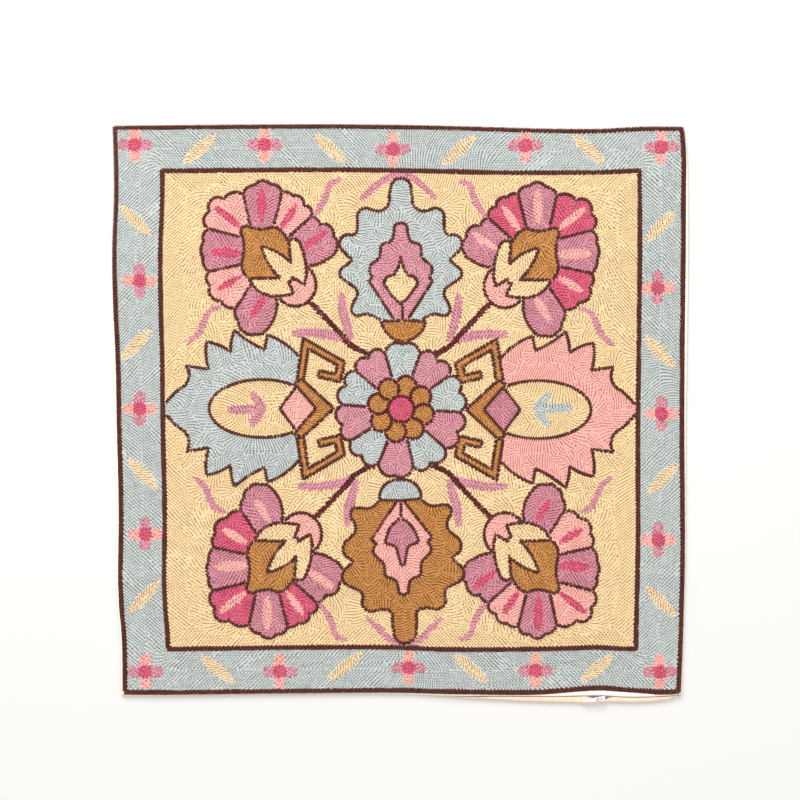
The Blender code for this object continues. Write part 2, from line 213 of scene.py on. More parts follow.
def lip_width(along):
    """How far the lip reaches past the groove. The slider pushes it out a little."""
    bulge = BULGE * np.exp(-(((along - BULGE_X) / BULGE_REACH) ** 2))
    return np.maximum(through(LIP_WIDTH, along), 0.0) + bulge


def groove(along):
    """The groove's width, which opens round the slider."""
    opened = np.exp(-(((along - SLIDER_X) / SLIDER_REACH) ** 4))
    return GROOVE + (SLIDER_GROOVE - GROOVE) * opened


def crease(x, y):
    """How high the two creases lift the cloth."""
    side = 0.5 + x / (2.0 * HALF)
    rise = 0.0
    for left, right in CREASE_LEFT_RIGHT:
        slant = np.hypot(y - between(left, right, side), CREASE_CREST) - CREASE_CREST
        rise = rise + CREASE_RISE * np.exp(-slant / CREASE_REACH)
    return rise


def soft_folds(x, y):
    """The height of the broad folds."""
    rise = 0.0
    for fold_x, fold_y, length, width, turned, high in SOFT_FOLDS:
        turn = math.radians(turned)
        off_x, off_y = x - fold_x, y + MIDDLE_Y - fold_y
        along = off_x * math.cos(turn) + off_y * math.sin(turn)
        across = off_y * math.cos(turn) - off_x * math.sin(turn)
        rise = rise + high * np.exp(-((along / length) ** 2) - (across / width) ** 2)
    return rise


def front_height(x, y):
    """The height of the front's upper face at a place."""
    column, row = in_square(x, y)
    side = HALF - np.maximum(abs(column), abs(row))
    rolled = np.clip(EDGE_ROLL - side, 0.0, EDGE_ROLL)
    lift = ZIP_LIFT * eased(lip_width(x) / FULL_LIFT_WIDTH)
    seam = BACK_WALL + SHEET_GAP + lift * (1.0 - eased((row + HALF) / ZIP_LIFT_REACH))
    folds = soft_folds(x, y) * eased(side / FOLDS_START)
    folds = folds + crease(x, y) * eased(side / CREASE_START)
    return seam + np.sqrt(EDGE_ROLL**2 - rolled**2) + folds


def ground_height(x, y):
    """The height of the ground cloth, which lies lower where it is stitched."""
    column, row = in_square(x, y)
    side = HALF - np.maximum(abs(column), abs(row))
    return front_height(x, y) - STITCH_BED * eased(side / (2.0 * EDGE_ROLL))


def lip_shape(along):
    """(turn, arc length, straight run) of the lip at a column."""
    width = lip_width(along)
    curl = eased(width / FULL_CURL_WIDTH)
    room = width + GROOVE - groove(along) - LIP_RADIUS - BACK_WALL / 2
    turn = np.maximum(math.pi * curl, FLATTEST_TURN)
    arc = between(FLAT_LIP, math.pi * LIP_RADIUS, curl)
    run = between(SHORTEST_RUN, np.maximum(room, SHORTEST_RUN), curl)
    return turn, arc, run


def lip_step(along, arc_share, run_share):
    """(outwards, up, slant) of the lip's middle surface, from the end of the back's flat part."""
    turn, arc, run = lip_shape(along)
    radius = arc / turn
    slant = turn * arc_share
    outwards = radius * np.sin(slant) + run * run_share * np.cos(slant)
    up = radius * (1.0 - np.cos(slant)) + run * run_share * np.sin(slant)
    return outwards, up, slant


def lip_start(x):
    """Where the back's flat part ends and its lip starts."""
    turn, arc, _ = lip_shape(x)
    outwards, _, slant = lip_step(x, 1.0, 1.0)
    curled = arc / turn + BACK_WALL / 2
    raised = outwards + BACK_WALL / 2 * np.sin(slant)
    extent = np.where(turn > math.pi / 2, curled, raised)
    return lower_side(x) - GROOVE - lip_width(x) + extent


# Outlines of shapes, as arrays of (x, y) points that run clockwise

ARC_STEP = 1.2  # between two points of an outline
LEAF_START, LEAF_SPAN = 0.03, 0.94  # the part of a half wave that a leaf's width follows


def arc_points(start, end, bulge):
    """Points from start up to end along an arc, which bulges to the left by this share of its chord."""
    start, end = np.array(start, dtype=float), np.array(end, dtype=float)
    chord = end - start
    length = math.hypot(*chord)
    steps = max(2, round(length / ARC_STEP))
    share = np.arange(steps) / steps
    left = np.array((-chord[1], chord[0]))
    if abs(bulge) < 0.01:
        return start + share[:, None] * chord
    half_turn = 2.0 * math.atan(2.0 * abs(bulge))
    turn = (2.0 * share - 1.0) * half_turn
    along = 0.5 + 0.5 * np.sin(turn) / math.sin(half_turn)
    across = 0.5 * (np.cos(turn) - math.cos(half_turn)) / math.sin(half_turn) * math.copysign(1.0, bulge)
    return start + along[:, None] * chord + across[:, None] * left


def outline(rows):
    """A closed outline through rows of (x, y, bulge of the stretch to the next row)."""
    ends = list(rows[1:]) + [rows[0]]
    stretches = [arc_points(row[:2], end[:2], row[2]) for row, end in zip(rows, ends)]
    return np.concatenate(stretches)


def mirrored(rows):
    """A closed outline that is mirrored at x = 0, from the rows of its right half, from top to bottom."""
    last = rows[-1][:2] + (rows[-2][2],)
    back = [(-row[0], row[1], before[2]) for row, before in zip(rows[-2:0:-1], rows[-3::-1])]
    return outline(list(rows[:-1]) + [last] + back)


def moved(points, middle=(0.0, 0.0), turned=0.0, flip_x=False, flip_y=False):
    """Points turned by an angle in degrees, then mirrored, then moved."""
    turn = math.radians(turned)
    points = np.array(points, dtype=float)[:, :2]
    x = points[:, 0] * math.cos(turn) - points[:, 1] * math.sin(turn)
    y = points[:, 0] * math.sin(turn) + points[:, 1] * math.cos(turn)
    if flip_x:
        x = -x
    if flip_y:
        y = -y
    return np.stack((x + middle[0], y + middle[1]), 1)


def ellipse(half_x, half_y, middle=(0.0, 0.0), turned=0.0):
    """An ellipse."""
    turn = np.arange(0.0, 2.0 * math.pi, 2.0 / (half_x + half_y))
    return moved(np.stack((half_x * np.cos(turn), -half_y * np.sin(turn)), 1), middle, turned)


def curve(points, steps=12):
    """A smooth open line through points."""
    points = np.array(points, dtype=float)
    padded = np.concatenate((2 * points[:1] - points[1:2], points, 2 * points[-1:] - points[-2:-1]))
    found = []
    for a, b, c, d in zip(padded, padded[1:], padded[2:], padded[3:]):
        t = (np.arange(steps) / steps)[:, None]
        square = (2 * a - 5 * b + 4 * c - d) * t**2
        cube = (3 * b - a - 3 * c + d) * t**3
        found.append(0.5 * (2 * b + (c - a) * t + square + cube))
    return np.concatenate(found + [points[-1:]])


def strip(line, widths):
    """The outline of a strip about a line, whose width follows widths."""
    step = np.gradient(line, axis=0)
    normal = np.stack((-step[:, 1], step[:, 0]), 1) / np.hypot(*step.T)[:, None]
    side = normal * np.asarray(widths)[:, None] / 2
    return np.concatenate((line + side, (line - side)[::-1]))


def leaf(points, width, blunt=0.55):
    """A leaf along a smooth line, with tapered ends."""
    line = curve(points)
    share = np.linspace(0.0, 1.0, len(line))
    return strip(line, width * np.sin(math.pi * (LEAF_START + LEAF_SPAN * share)) ** blunt)


def hook(corners, width):
    """The outline of a strip of even width along a line with sharp corners."""
    line = np.array(corners, dtype=float)
    chords = np.diff(line, axis=0)
    ways = chords / np.hypot(*chords.T)[:, None]
    normals = np.stack((-ways[:, 1], ways[:, 0]), 1)
    mitres = np.concatenate((normals[:1], normals[:-1] + normals[1:], normals[-1:]))
    mitres[1:-1] /= (1.0 + (normals[:-1] * normals[1:]).sum(1))[:, None]
    side = mitres * width / 2
    around = np.concatenate((line + side, (line - side)[::-1]))
    return outline([(x, y, 0.0) for x, y in around])


# The pattern

LINE_STEP = 0.4  # between two points of a shape's line


class Pattern:
    """Shapes laid over each other on a grid of small squares, with the lines that are still seen."""

    def __init__(self):
        side = int(2 * REACH / GRID) + 1
        self.places = -REACH + GRID * np.arange(side)
        self.thread = np.full((side, side), -1, dtype=np.int8)
        self.plain = np.zeros((side, side), dtype=bool)
        self.lines = []

    def squares(self, points):
        """The grid row and column of each point."""
        found = np.rint((points + REACH) / GRID).astype(int)
        found = np.clip(found, 0, len(self.places) - 1)
        return found[:, 1], found[:, 0]

    def inside(self, points):
        """Which squares lie inside a closed outline."""
        side = len(self.places)
        crossed = np.zeros((side, side + 1), dtype=np.int16)
        for (x0, y0), (x1, y1) in zip(points, np.roll(points, -1, axis=0)):
            low, high = min(y0, y1), max(y0, y1)
            first, last = np.searchsorted(self.places, (low, high))
            if first < last:
                rows = np.arange(first, last)
                x = x0 + (self.places[rows] - y0) * (x1 - x0) / (y1 - y0)
                crossed[rows, np.searchsorted(self.places, x)] += 1
        return np.cumsum(crossed, axis=1)[:, :side] % 2 == 1

    def near(self, points, reach):
        """Which squares lie within about reach of a dense row of points."""
        found = np.zeros(self.thread.shape, dtype=bool)
        rows, columns = self.squares(points)
        steps = int(round(reach / GRID))
        for up in range(-steps, steps + 1):
            for right in range(-steps, steps + 1):
                if up * up + right * right <= steps * steps + 1:
                    r = np.clip(rows + up, 0, found.shape[0] - 1)
                    c = np.clip(columns + right, 0, found.shape[1] - 1)
                    found[r, c] = True
        return found

    def lay(self, points, thread=None, half=LINE_HALF, line="brown", closed=True):
        """Lays a shape: its fill, and round it a line of another thread unless half is 0."""
        dense = evenly(points, LINE_STEP, closed)
        covered = self.near(dense, max(half, GRID))
        if thread is not None:
            shape = self.inside(points)
            self.thread[shape] = NAMES.index(thread)
            self.plain[shape] = half == 0.0
            covered |= shape
        for old in self.lines:
            old["seen"] &= ~covered[self.squares(old["points"])]
        seen = np.ones(len(dense), dtype=bool)
        self.lines.append({"points": dense, "seen": seen, "half": half, "thread": line, "closed": closed})


def evenly(points, spacing, closed=False):
    """Places at even steps along a line of points."""
    if closed:
        points = np.concatenate((points, points[:1]))
    steps = np.hypot(*np.diff(points, axis=0).T)
    run = np.concatenate(((0.0,), np.cumsum(steps)))
    count = max(1, int(round(run[-1] / spacing)))
    middles = (np.arange(count) + 0.5) * run[-1] / count
    return np.stack([np.interp(middles, run, points[:, axis]) for axis in (0, 1)], 1)


EDGE_STEPS, FRAME_STEPS = 227, 190  # points along one side


def edge_outline():
    """The middle of the double brown line near the cover's sides."""
    along = np.linspace(-HALF, HALF, EDGE_STEPS)

    def clipped(x, y):
        low = lower_side(x) + through(BOTTOM_MARGIN, x) + DOUBLE_HALF
        high = top_side(x) - through(TOP_MARGIN, x) - DOUBLE_HALF
        return np.stack((x, np.clip(y, low, high)), 1)

    left = left_side(along) + through(LEFT_MARGIN, along) + DOUBLE_HALF
    right = right_side(along) - through(RIGHT_MARGIN, along) - DOUBLE_HALF
    up, down = clipped(left, along), clipped(right, along)[::-1]
    top_x = np.linspace(up[-1, 0], down[0, 0], EDGE_STEPS)[1:-1]
    bottom_x = np.linspace(down[-1, 0], up[0, 0], EDGE_STEPS)[1:-1]
    top = clipped(top_x, np.full(len(top_x), HALF * 2))
    bottom = clipped(bottom_x, np.full(len(bottom_x), -HALF * 2))
    return without_repeats(np.concatenate((up, top, down, bottom)))


def without_repeats(points):
    """Points without those that lie on the one before."""
    gaps = np.hypot(*(points - np.roll(points, 1, axis=0)).T)
    return points[gaps > 0.01]


FRAME_NARROW = 0.9915  # the frame's width as a share of its height
FRAME_LIFT, LIFT_FROM, LIFT_OVER = 1.5, 60.0, 90.0  # how far its right part is drawn up, and where


def frame_outline():
    """The middle of the inner brown frame."""
    along = np.linspace(-FRAME_LINE, FRAME_LINE, FRAME_STEPS)[:-1]
    fixed = np.full(len(along), FRAME_LINE)
    sides = [(-fixed, along), (along, fixed), (fixed, -along), (-along, -fixed)]
    found = []
    for column, row in sides:
        x, y = lying(column * FRAME_NARROW, row)
        found.append(np.stack((x, y + FRAME_LIFT * eased((x - LIFT_FROM) / LIFT_OVER)), 1))
    return np.concatenate(found)


# The border's flowers: (x, y), and its leaves: (x, y, turned by)
TOP_AND_BOTTOM_FLOWERS = (
    (-210.5, 210.0), (-107.5, 210.0), (-5.5, 206.5), (99.5, 209.5), (207.5, 208.0),
    (-202.0, -208.0), (-95.5, -208.0), (7.0, -205.0), (107.5, -207.0), (206.0, -208.0),
)
SIDE_FLOWERS = (
    (-206.5, 102.0), (-206.5, 0.5), (-202.0, -99.0), (204.5, 96.5), (207.5, -3.5), (205.0, -103.5),
)
BORDER_LEAVES = (
    (-159.0, 206.5, 42), (-55.5, 207.0, -42), (47.0, 205.5, 42), (149.5, 206.5, -42),
    (-210.0, 150.0, -44), (-209.0, 51.5, 46), (-204.5, -50.5, -46), (-202.5, -148.5, 46),
    (206.5, 145.0, 46), (206.0, 45.5, -46), (208.5, -54.5, 46), (206.5, -152.0, -46),
    (-144.5, -206.5, -40), (-43.5, -204.0, 40), (56.5, -205.5, -40), (156.5, -205.5, 40),
)
FLOWER_SPAN, FLOWER_PETAL, FLOWER_MIDDLE = 28.0, 9.0, 5.4
BORDER_LEAF_LENGTH, BORDER_LEAF_WIDTH = 33.5, 9.4


def border(pattern):
    """Small flowers and leaves in the band between the two brown frames."""
    half, end = FLOWER_SPAN / 2, FLOWER_PETAL / 2
    upright = outline([
        (-end, end - half, 0.0), (-end, half - end, 0.5), (end, half - end, 0.0), (end, end - half, 0.5),
    ])
    sideways = moved(upright, turned=90)
    for places, upright_thread, sideways_thread in (
        (TOP_AND_BOTTOM_FLOWERS, "pink", "deep_pink"),
        (SIDE_FLOWERS, "deep_pink", "pink"),
    ):
        for place in places:
            pattern.lay(moved(upright, place), upright_thread, 0.0)
            pattern.lay(moved(sideways, place), sideways_thread, 0.0)
            pattern.lay(ellipse(FLOWER_MIDDLE, FLOWER_MIDDLE, place), "magenta", 0.0)
    long = BORDER_LEAF_LENGTH / 2
    for x, y, turned in BORDER_LEAVES:
        shape = leaf([(-long, 0.0), (0.0, 0.0), (long, 0.0)], BORDER_LEAF_WIDTH, 0.6)
        pattern.lay(moved(shape, (x, y), turned), "warm_yellow", 0.0)


# The right half of each part of the two upright palmettes, from top to bottom: (x, y, bulge)
NORTH_X = 0.6
NORTH_BODY = (
    (0.0, 183.5, 0.22), (8.2, 174.5, 0.03), (9.2, 166.0, -0.2), (18.0, 157.2, -0.03), (25.5, 159.5, 0.3),
    (34.3, 151.0, 0.0), (34.5, 143.5, -0.3), (41.3, 138.8, 0.38), (45.3, 125.2, 0.0),
    (41.0, 120.8, -0.45),
    (41.0, 116.4, 0.0), (44.6, 113.3, 0.36), (44.6, 102.5, 0.0), (38.2, 98.0, -0.28),
    (36.5, 87.0, 0.0), (39.0, 81.0, 0.35),
    (31.5, 75.0, -0.12), (19.5, 73.0, 0.0), (14.0, 69.5, 0.0), (0.0, 66.0, 0.0),
)
NORTH_FLAME = (
    (0.0, 148.0, 0.3), (5.0, 141.5, 0.0), (6.8, 134.8, -0.1), (11.5, 132.0, 0.25), (16.0, 126.5, 0.05),
    (16.3, 121.0, 0.0), (20.5, 117.0, 0.3), (22.3, 105.5, 0.0), (25.2, 101.8, 0.0), (5.2, 71.0, 0.0),
    (0.0, 70.5, 0.0),
)
NORTH_SPADE = (
    (0.0, 122.0, -0.06), (4.4, 108.5, -0.2), (8.3, 106.2, 0.12), (12.0, 103.5, 0.25), (11.0, 96.5, 0.06),
    (0.0, 84.0, 0.0),
)
NORTH_CUP = ((0.0, 70.3, 0.1), (6.0, 70.0, 0.1), (12.0, 69.8, 0.1), (17.5, 69.5, 0.16), (0.0, 53.7, 0.0))
SOUTH_X, SOUTH_TURN = -2.2, 2.0
SOUTH_CAP = ((0.0, -56.0, 0.24), (16.5, -70.0, 0.0), (16.5, -71.5, 0.0), (0.0, -72.3, 0.0))
SOUTH_BODY = (
    (0.0, -71.5, 0.0), (16.5, -70.5, -0.2), (31.0, -77.0, 0.0), (37.5, -77.2, 0.25), (37.8, -87.0, -0.12),
    (37.0, -97.0, 0.0), (43.0, -102.2, 0.32), (41.0, -117.5, -0.45), (41.0, -121.0, 0.0),
    (44.5, -124.4, 0.34),
    (42.0, -139.0, 0.0), (35.8, -142.0, -0.2), (32.6, -149.0, 0.3), (24.5, -159.3, -0.05),
    (14.5, -158.3, -0.28),
    (9.8, -166.0, 0.0), (8.8, -176.5, 0.22), (0.0, -185.5, 0.0),
)
SOUTH_FLAME = (
    (0.0, -71.8, 0.0), (3.0, -73.0, 0.0), (24.0, -102.0, 0.0), (20.2, -106.5, 0.3), (20.5, -116.0, 0.05),
    (15.5, -120.5, -0.05), (14.3, -128.0, 0.3), (9.0, -133.2, 0.0), (5.2, -136.2, 0.0),
    (3.8, -143.0, 0.3),
    (0.0, -147.0, 0.0),
)
SOUTH_SPADE = (
    (0.0, -85.5, 0.0), (2.4, -87.5, 0.1), (12.3, -102.0, 0.35), (11.0, -106.5, 0.0), (6.5, -107.8, -0.15),
    (3.8, -113.0, 0.0), (1.8, -121.5, 0.3), (0.0, -123.8, 0.0),
)
ARCH_NORTH = (
    (-31.5, 166.5), (-22.3, 174.9), (-11.9, 182.5), (-1.0, 186.6), (9.5, 184.0), (19.9, 176.1),
    (29.0, 167.0),
)
ARCH_SOUTH = (
    (-27.0, -164.0), (-19.1, -172.1), (-9.5, -180.9), (2.4, -186.4), (13.5, -184.0), (22.3, -176.1),
    (32.5, -165.0),
)
ARCH_WIDTH = 6.0
CUP_X = 2.8
STALKS = ((2.0, 83.0, 71.0), (0.8, -73.5, -85.5))  # (x, start, end)


def upright_palmettes(pattern):
    """The two palmettes above and below the rosette."""
    pattern.lay(leaf(ARCH_NORTH, ARCH_WIDTH, 0.3), "lilac", 0.0)
    pattern.lay(leaf(ARCH_SOUTH, ARCH_WIDTH, 0.3), "lilac", 0.0)
    for rows, thread, x, turned in (
        (NORTH_BODY, "blue", NORTH_X, 0.0),
        (NORTH_FLAME, "deep_pink", NORTH_X, 0.0),
        (NORTH_SPADE, "pale_yellow", NORTH_X, 0.0),
        (NORTH_CUP, "ochre", CUP_X, 0.0),
        (SOUTH_BODY, "ochre", SOUTH_X, SOUTH_TURN),
        (SOUTH_FLAME, "pink", SOUTH_X, SOUTH_TURN),
        (SOUTH_SPADE, "mauve", SOUTH_X, SOUTH_TURN),
        (SOUTH_CAP, "blue", SOUTH_X, SOUTH_TURN),
    ):
        pattern.lay(moved(mirrored(rows), (x, 0.0), turned), thread)
    for x, start, end in STALKS:
        stalk = np.array(((x, start), (x, end)))
        pattern.lay(stalk, None, LINE_HALF, closed=False)


# The sideways palmettes, in (across, outwards from the rosette), from the tip down: (x, y, bulge)
SIDE_BODY = (
    (0.0, 187.5, 0.15), (5.5, 185.0, 0.02), (15.5, 175.0, -0.24), (33.8, 169.5, 0.0), (31.2, 151.8, 0.06),
    (53.0, 153.5, 0.06), (45.0, 134.5, 0.05), (62.0, 131.3, -0.04), (46.7, 107.3, 0.0),
    (58.4, 105.3, 0.08),
    (38.2, 78.0, 0.0), (18.0, 82.0, 0.0), (0.0, 82.0, 0.0),
)
SIDE_EYE_MIDDLE, SIDE_EYE_LONG, SIDE_EYE_WIDE = 109.5, 42.0, 23.0
SIDE_DIAMOND = ((0.0, 95.5, 0.0), (18.0, 82.0, 0.0), (0.0, 66.0, 0.0))
SIDE_CHEVRON = ((0.0, 66.5), (20.0, 84.0), (23.5, 78.0), (0.0, 52.5))
SIDE_HOOK = ((20.0, 79.5), (51.8, 74.8), (35.6, 46.8), (24.2, 49.4), (27.6, 64.5))
HOOK_WIDTH = 5.4
TEE_BAR = ((13.5, 118.5), (0.0, 110.0), (-13.5, 118.5))
TEE_ARM = ((0.0, 112.0), (-1.0, 124.0), (-1.0, 137.0))
TEE_WIDTH = 7.6
WEST_Y, EAST_Y = 0.8, -0.1


def side_palmettes(pattern):
    """The two palmettes beside the rosette. The outwards axis turns to -X or +X."""
    diamond = mirrored(SIDE_DIAMOND)
    chevron = list(SIDE_CHEVRON) + [(-x, y) for x, y in SIDE_CHEVRON[2:0:-1]]
    chevron = outline([(x, y, 0.0) for x, y in chevron])
    eye = ellipse(SIDE_EYE_WIDE, SIDE_EYE_LONG, (0.0, SIDE_EYE_MIDDLE))
    for turned, y, body, tee, middle in (
        (90, WEST_Y, "blue", "lilac", "pink"),
        (-90, EAST_Y, "pink", "blue", "mauve"),
    ):
        place = {"middle": (0.0, y), "turned": turned}
        pattern.lay(moved(mirrored(SIDE_BODY), **place), body)
        pattern.lay(moved(eye, **place), "pale_yellow")
        pattern.lay(moved(leaf(TEE_BAR, TEE_WIDTH, 0.3), **place), tee, 0.0)
        pattern.lay(moved(leaf(TEE_ARM, TEE_WIDTH, 0.3), **place), tee, 0.0)
        pattern.lay(moved(diamond, **place), middle)
        for side in (1, -1):
            corners = [(side * across, out) for across, out in SIDE_HOOK]
            pattern.lay(moved(hook(corners, HOOK_WIDTH), **place), "ochre")
        pattern.lay(moved(chevron, **place), "ochre")


# A corner flower about its heart, as it stands in the upper right corner: (x, y, bulge).
# Its petals run clockwise.
PETALS = (
    (
        (-18, -7, 0), (-32, -10.5, 0.08), (-47.5, -5.5, 0.18), (-56, 8, 0.05), (-53, 13.5, 0.28),
        (-42, 22.5, 0.2), (-35, 28.5, 0), (-9, 5, 0),
    ),
    ((-9, 5, 0), (-35, 28.5, 0.3), (-29.5, 37.5, 0.28), (-20.5, 45, 0.2), (-12, 47.5, 0), (-2.5, 10, 0)),
    ((-2.5, 10, 0), (-12, 47.5, 0.22), (-3, 54, 0.28), (9.5, 53.5, 0.2), (18.5, 46, 0), (11, 12, 0)),
    ((11, 12, 0), (18.5, 46, 0.22), (34, 42.5, 0.4), (45.5, 32.5, 0.32), (46, 19, 0), (9.5, 9.5, 0)),
    ((9.5, 9.5, 0), (46, 19, 0.2), (50, 9, 0.15), (50.5, -4, 0.15), (46, -15, 0), (9.5, -7, 0)),
    ((9.5, -7, 0), (46, -15, 0.22), (45, -26, 0.3), (36.5, -38, 0.22), (24, -43, 0), (5.5, -15, 0)),
    (
        (5.5, -15, 0), (25, -44.5, 0.15), (22.5, -54, 0.2), (18.5, -62, 0.2), (9.5, -64.5, 0.15),
        (2, -63, 0.1), (-8, -43, 0.05), (-7, -35, 0), (-2, -15, 0),
    ),
)
STRIPES = (  # (x, y, half length, half width, turned clockwise)
    (-38.5, 10.5, 12.2, 3.2, -54), (-17.5, 28.5, 11.8, 2.9, -33), (4, 37.5, 13.9, 3.6, 0),
    (31, 28.5, 14.0, 3.1, 52), (32.5, 0, 12.7, 4.0, 88), (30, -24, 11.6, 2.9, 121),
    (7.5, -43.5, 11.5, 3.1, 149),
)
HEART = (
    (-19, -7, 0), (-16.5, 8, 0.1), (-13.5, 15, 0.12), (-4, 20.5, -0.08), (5.5, 18.5, -0.05),
    (14.5, 21, 0.3),
    (20.5, 15.5, -0.05), (18, 3, -0.05), (20, -8, 0.12), (14.5, -20.5, 0), (-10.5, -20.5, 0),
)
CALYX = ((-31.5, -11, 0), (-9.5, -35.5, 0.22), (-32.5, -39, 0.25))
CLAW = (
    (4.5, 5, 0.07), (-10.5, -20, 0), (14, -20.5, 0.1), (2.5, -32.5, 0.06), (-8, -34.5, 0.03),
    (-21.5, -32.5, 0),
    (-17, -23, 0.35), (-20, -19.5, 0), (-30, -25.5, 0), (-31.5, -17.5, 0.05), (-27, 5.5, 0.3),
    (-17.5, 9.5, 0),
    (-19, -8, 0.08),
)
FLOWER_AT = (105.7, 124.4)
STEM = ((73.0, 87.0), (58.0, 71.5), (48.0, 61.0), (41.0, 53.0), (34.0, 48.0), (25.0, 44.0))
STEM_WIDTH = 4.4
STRAYS = (  # (points, width)
    (((69.5, 152.5), (63.6, 160.2), (58.8, 169.0), (55.2, 179.0), (47.0, 183.0)), 5.5),
    (((141.5, 81.5), (151.0, 78.3), (155.8, 69.6), (160.0, 60.5), (168.5, 53.0)), 5.5),
    (((46.5, 93.0), (45.0, 77.5), (38.5, 55.0)), 7.4),
    (((85.5, 60.5), (70.0, 61.2), (53.3, 58.6), (42.0, 54.5)), 7.6),
)
CORNERS = ((True, False, 0, 0), (False, False, 0, -1.3), (True, True, 4.5, 0), (False, True, 0, 0))


def corner_flowers(pattern):
    """Four flowers on bent stems, with their leaves, mirrored into the corners."""
    for flip_x, flip_y, x, y in CORNERS:

        def placed(points, at=(0.0, 0.0), turned=0.0):
            return moved(moved(points, at, turned), (x, y), 0.0, flip_x, flip_y)

        for points, width in STRAYS:
            pattern.lay(placed(leaf(points, width, 0.3)), "lilac", 0.0)
        stem = curve(STEM)
        pattern.lay(placed(strip(stem, np.full(len(stem), STEM_WIDTH))), "maroon", 0.0)
        light = flip_x != flip_y
        for k, (rows, (stripe_x, stripe_y, long, half, turned)) in enumerate(zip(PETALS, STRIPES)):
            thread = ("mauve", "pink" if light else "magenta")[k % 2]
            pattern.lay(placed(outline(rows), FLOWER_AT), thread)
            middle = (FLOWER_AT[0] + stripe_x, FLOWER_AT[1] + stripe_y)
            pattern.lay(placed(ellipse(half, long), middle, -turned), "magenta" if light else "pink", 0.0)
        for rows, thread in ((HEART, "ochre"), (CALYX, "pink"), (CLAW, "pale_yellow")):
            pattern.lay(placed(outline(rows), FLOWER_AT), thread)


# The rosette
ROSETTE_AT = (0.8, 0.4)
ROSETTE_PETALS = (  # (turned clockwise, radius of the notch, bulge of the lobes)
    (1, 51.5, 0.3), (37, 47.0, 0.42), (74, 47.5, 0.42), (112, 47.5, 0.42), (151, 48.0, 0.42),
    (185, 53.0, 0.3), (220, 48.0, 0.42), (255, 47.5, 0.42), (293, 47.0, 0.42), (327, 47.5, 0.42),
)
PETAL_START, PETAL_SHOULDER = 22.0, 45.0
BALLS, BALL_TURN, BALL_RING, BALL_RADIUS = 8, 13.0, 18.5, 8.1
DISC_RADIUS = 10.4


def polar(radius, degrees):
    """A point at this distance, turned clockwise from +Y."""
    turn = math.radians(degrees)
    return radius * math.sin(turn), radius * math.cos(turn)


def rosette(pattern):
    """Ten heart-tipped petals, eight balls and a disc."""
    turns = [turned for turned, _, _ in ROSETTE_PETALS]
    sides = [(turned + onward) / 2 for turned, onward in zip(turns, turns[1:] + [turns[0] + 360])]
    for k, (turned, notch, bulge) in enumerate(ROSETTE_PETALS):
        low, high = sides[k - 1], sides[k]
        rows = [
            (*polar(PETAL_START, low), 0.0),
            (*polar(PETAL_SHOULDER, low), bulge),
            (*polar(notch, turned), bulge),
            (*polar(PETAL_SHOULDER, high), 0.0),
            (*polar(PETAL_START, high), 0.0),
        ]
        pattern.lay(moved(outline(rows), ROSETTE_AT), "deep_pink" if k % 2 else "blue")
    pattern.lay(ellipse(BALL_RING, BALL_RING, ROSETTE_AT), "maroon", 0.0)
    for k in range(BALLS):
        place = np.array(polar(BALL_RING, BALL_TURN + k * 360.0 / BALLS)) + ROSETTE_AT
        pattern.lay(ellipse(BALL_RADIUS, BALL_RADIUS, place), "ochre", line="maroon")
    pattern.lay(ellipse(DISC_RADIUS, DISC_RADIUS, ROSETTE_AT), "magenta", line="maroon")


def whole_pattern():
    """The pattern with all its shapes."""
    pattern = Pattern()
    edge, inner = edge_outline(), frame_outline()
    pattern.lay(edge, "blue", DOUBLE_HALF)
    border(pattern)
    pattern.lay(edge, None, DOUBLE_HALF)
    outside = ~pattern.inside(edge)
    pattern.thread[outside] = -1
    pattern.lay(inner, "pale_yellow", DOUBLE_HALF)
    corner_flowers(pattern)
    upright_palmettes(pattern)
    side_palmettes(pattern)
    rosette(pattern)
    pattern.lay(inner, None, DOUBLE_HALF)
    return pattern


# From the pattern to rows of stitches

OUTSIDE = -9.0  # the height of what isn't stitched
SHORTEST_ROW = 1.2
ROW_STEP = 0.3  # between two places of a row that the grid keeps
CROWDED = 0.68  # two links nearer than this share of a link become one
SHORTEST_LINK, LONGEST_LINK = 0.7, 1.5  # as shares of an even link
LINK_WIDTH = 1.04  # of a fill link, as a share of the pitch
GAP_FROM = 0.60  # a place this share of the pitch from any link is a gap
GAP_NEAR, GAP_RISE = 0.85, 0.85  # how close links in gaps stand, and their rise, as shares
LEAN_LIMIT = 1.5  # of the part of the slant that grows from the middle


def distances(pattern, points, halves):
    """(distance, index) of the nearest point to each square, less the half width of the point's line."""
    rows, columns = pattern.squares(points)
    nearest = np.full(pattern.thread.shape, -1, dtype=np.int32)
    nearest[rows, columns] = np.arange(len(points))
    far = 1e5
    x = np.append(points[:, 0], far).astype(np.float32)
    y = np.append(points[:, 1], far).astype(np.float32)
    half = np.append(halves, 0.0).astype(np.float32)
    grid_x, grid_y = np.meshgrid(pattern.places.astype(np.float32), pattern.places.astype(np.float32))

    def distance(index):
        return np.hypot(x[index] - grid_x, y[index] - grid_y) - half[index]

    best = distance(nearest)
    for step in (128, 64, 32, 16, 8, 4, 2, 1, 1):
        for up in (-step, 0, step):
            for right in (-step, 0, step):
                if up or right:
                    other = np.roll(nearest, (up, right), (0, 1))
                    found = distance(other)
                    closer = found < best
                    nearest = np.where(closer, other, nearest)
                    best = np.where(closer, found, best)
    return best, nearest


def waves(pattern, seeded, cell):
    """A smooth random height from about -1 to 1 for each square."""
    cells = int(2 * REACH / cell) + 3
    corners = seeded.uniform(-1.0, 1.0, (cells, cells))
    place = (pattern.places + REACH) / cell
    low = place.astype(int)
    share = eased(place - low)
    across = corners[:, low] * (1.0 - share) + corners[:, low + 1] * share
    return across[low] * (1.0 - share)[:, None] + across[low + 1] * share[:, None]


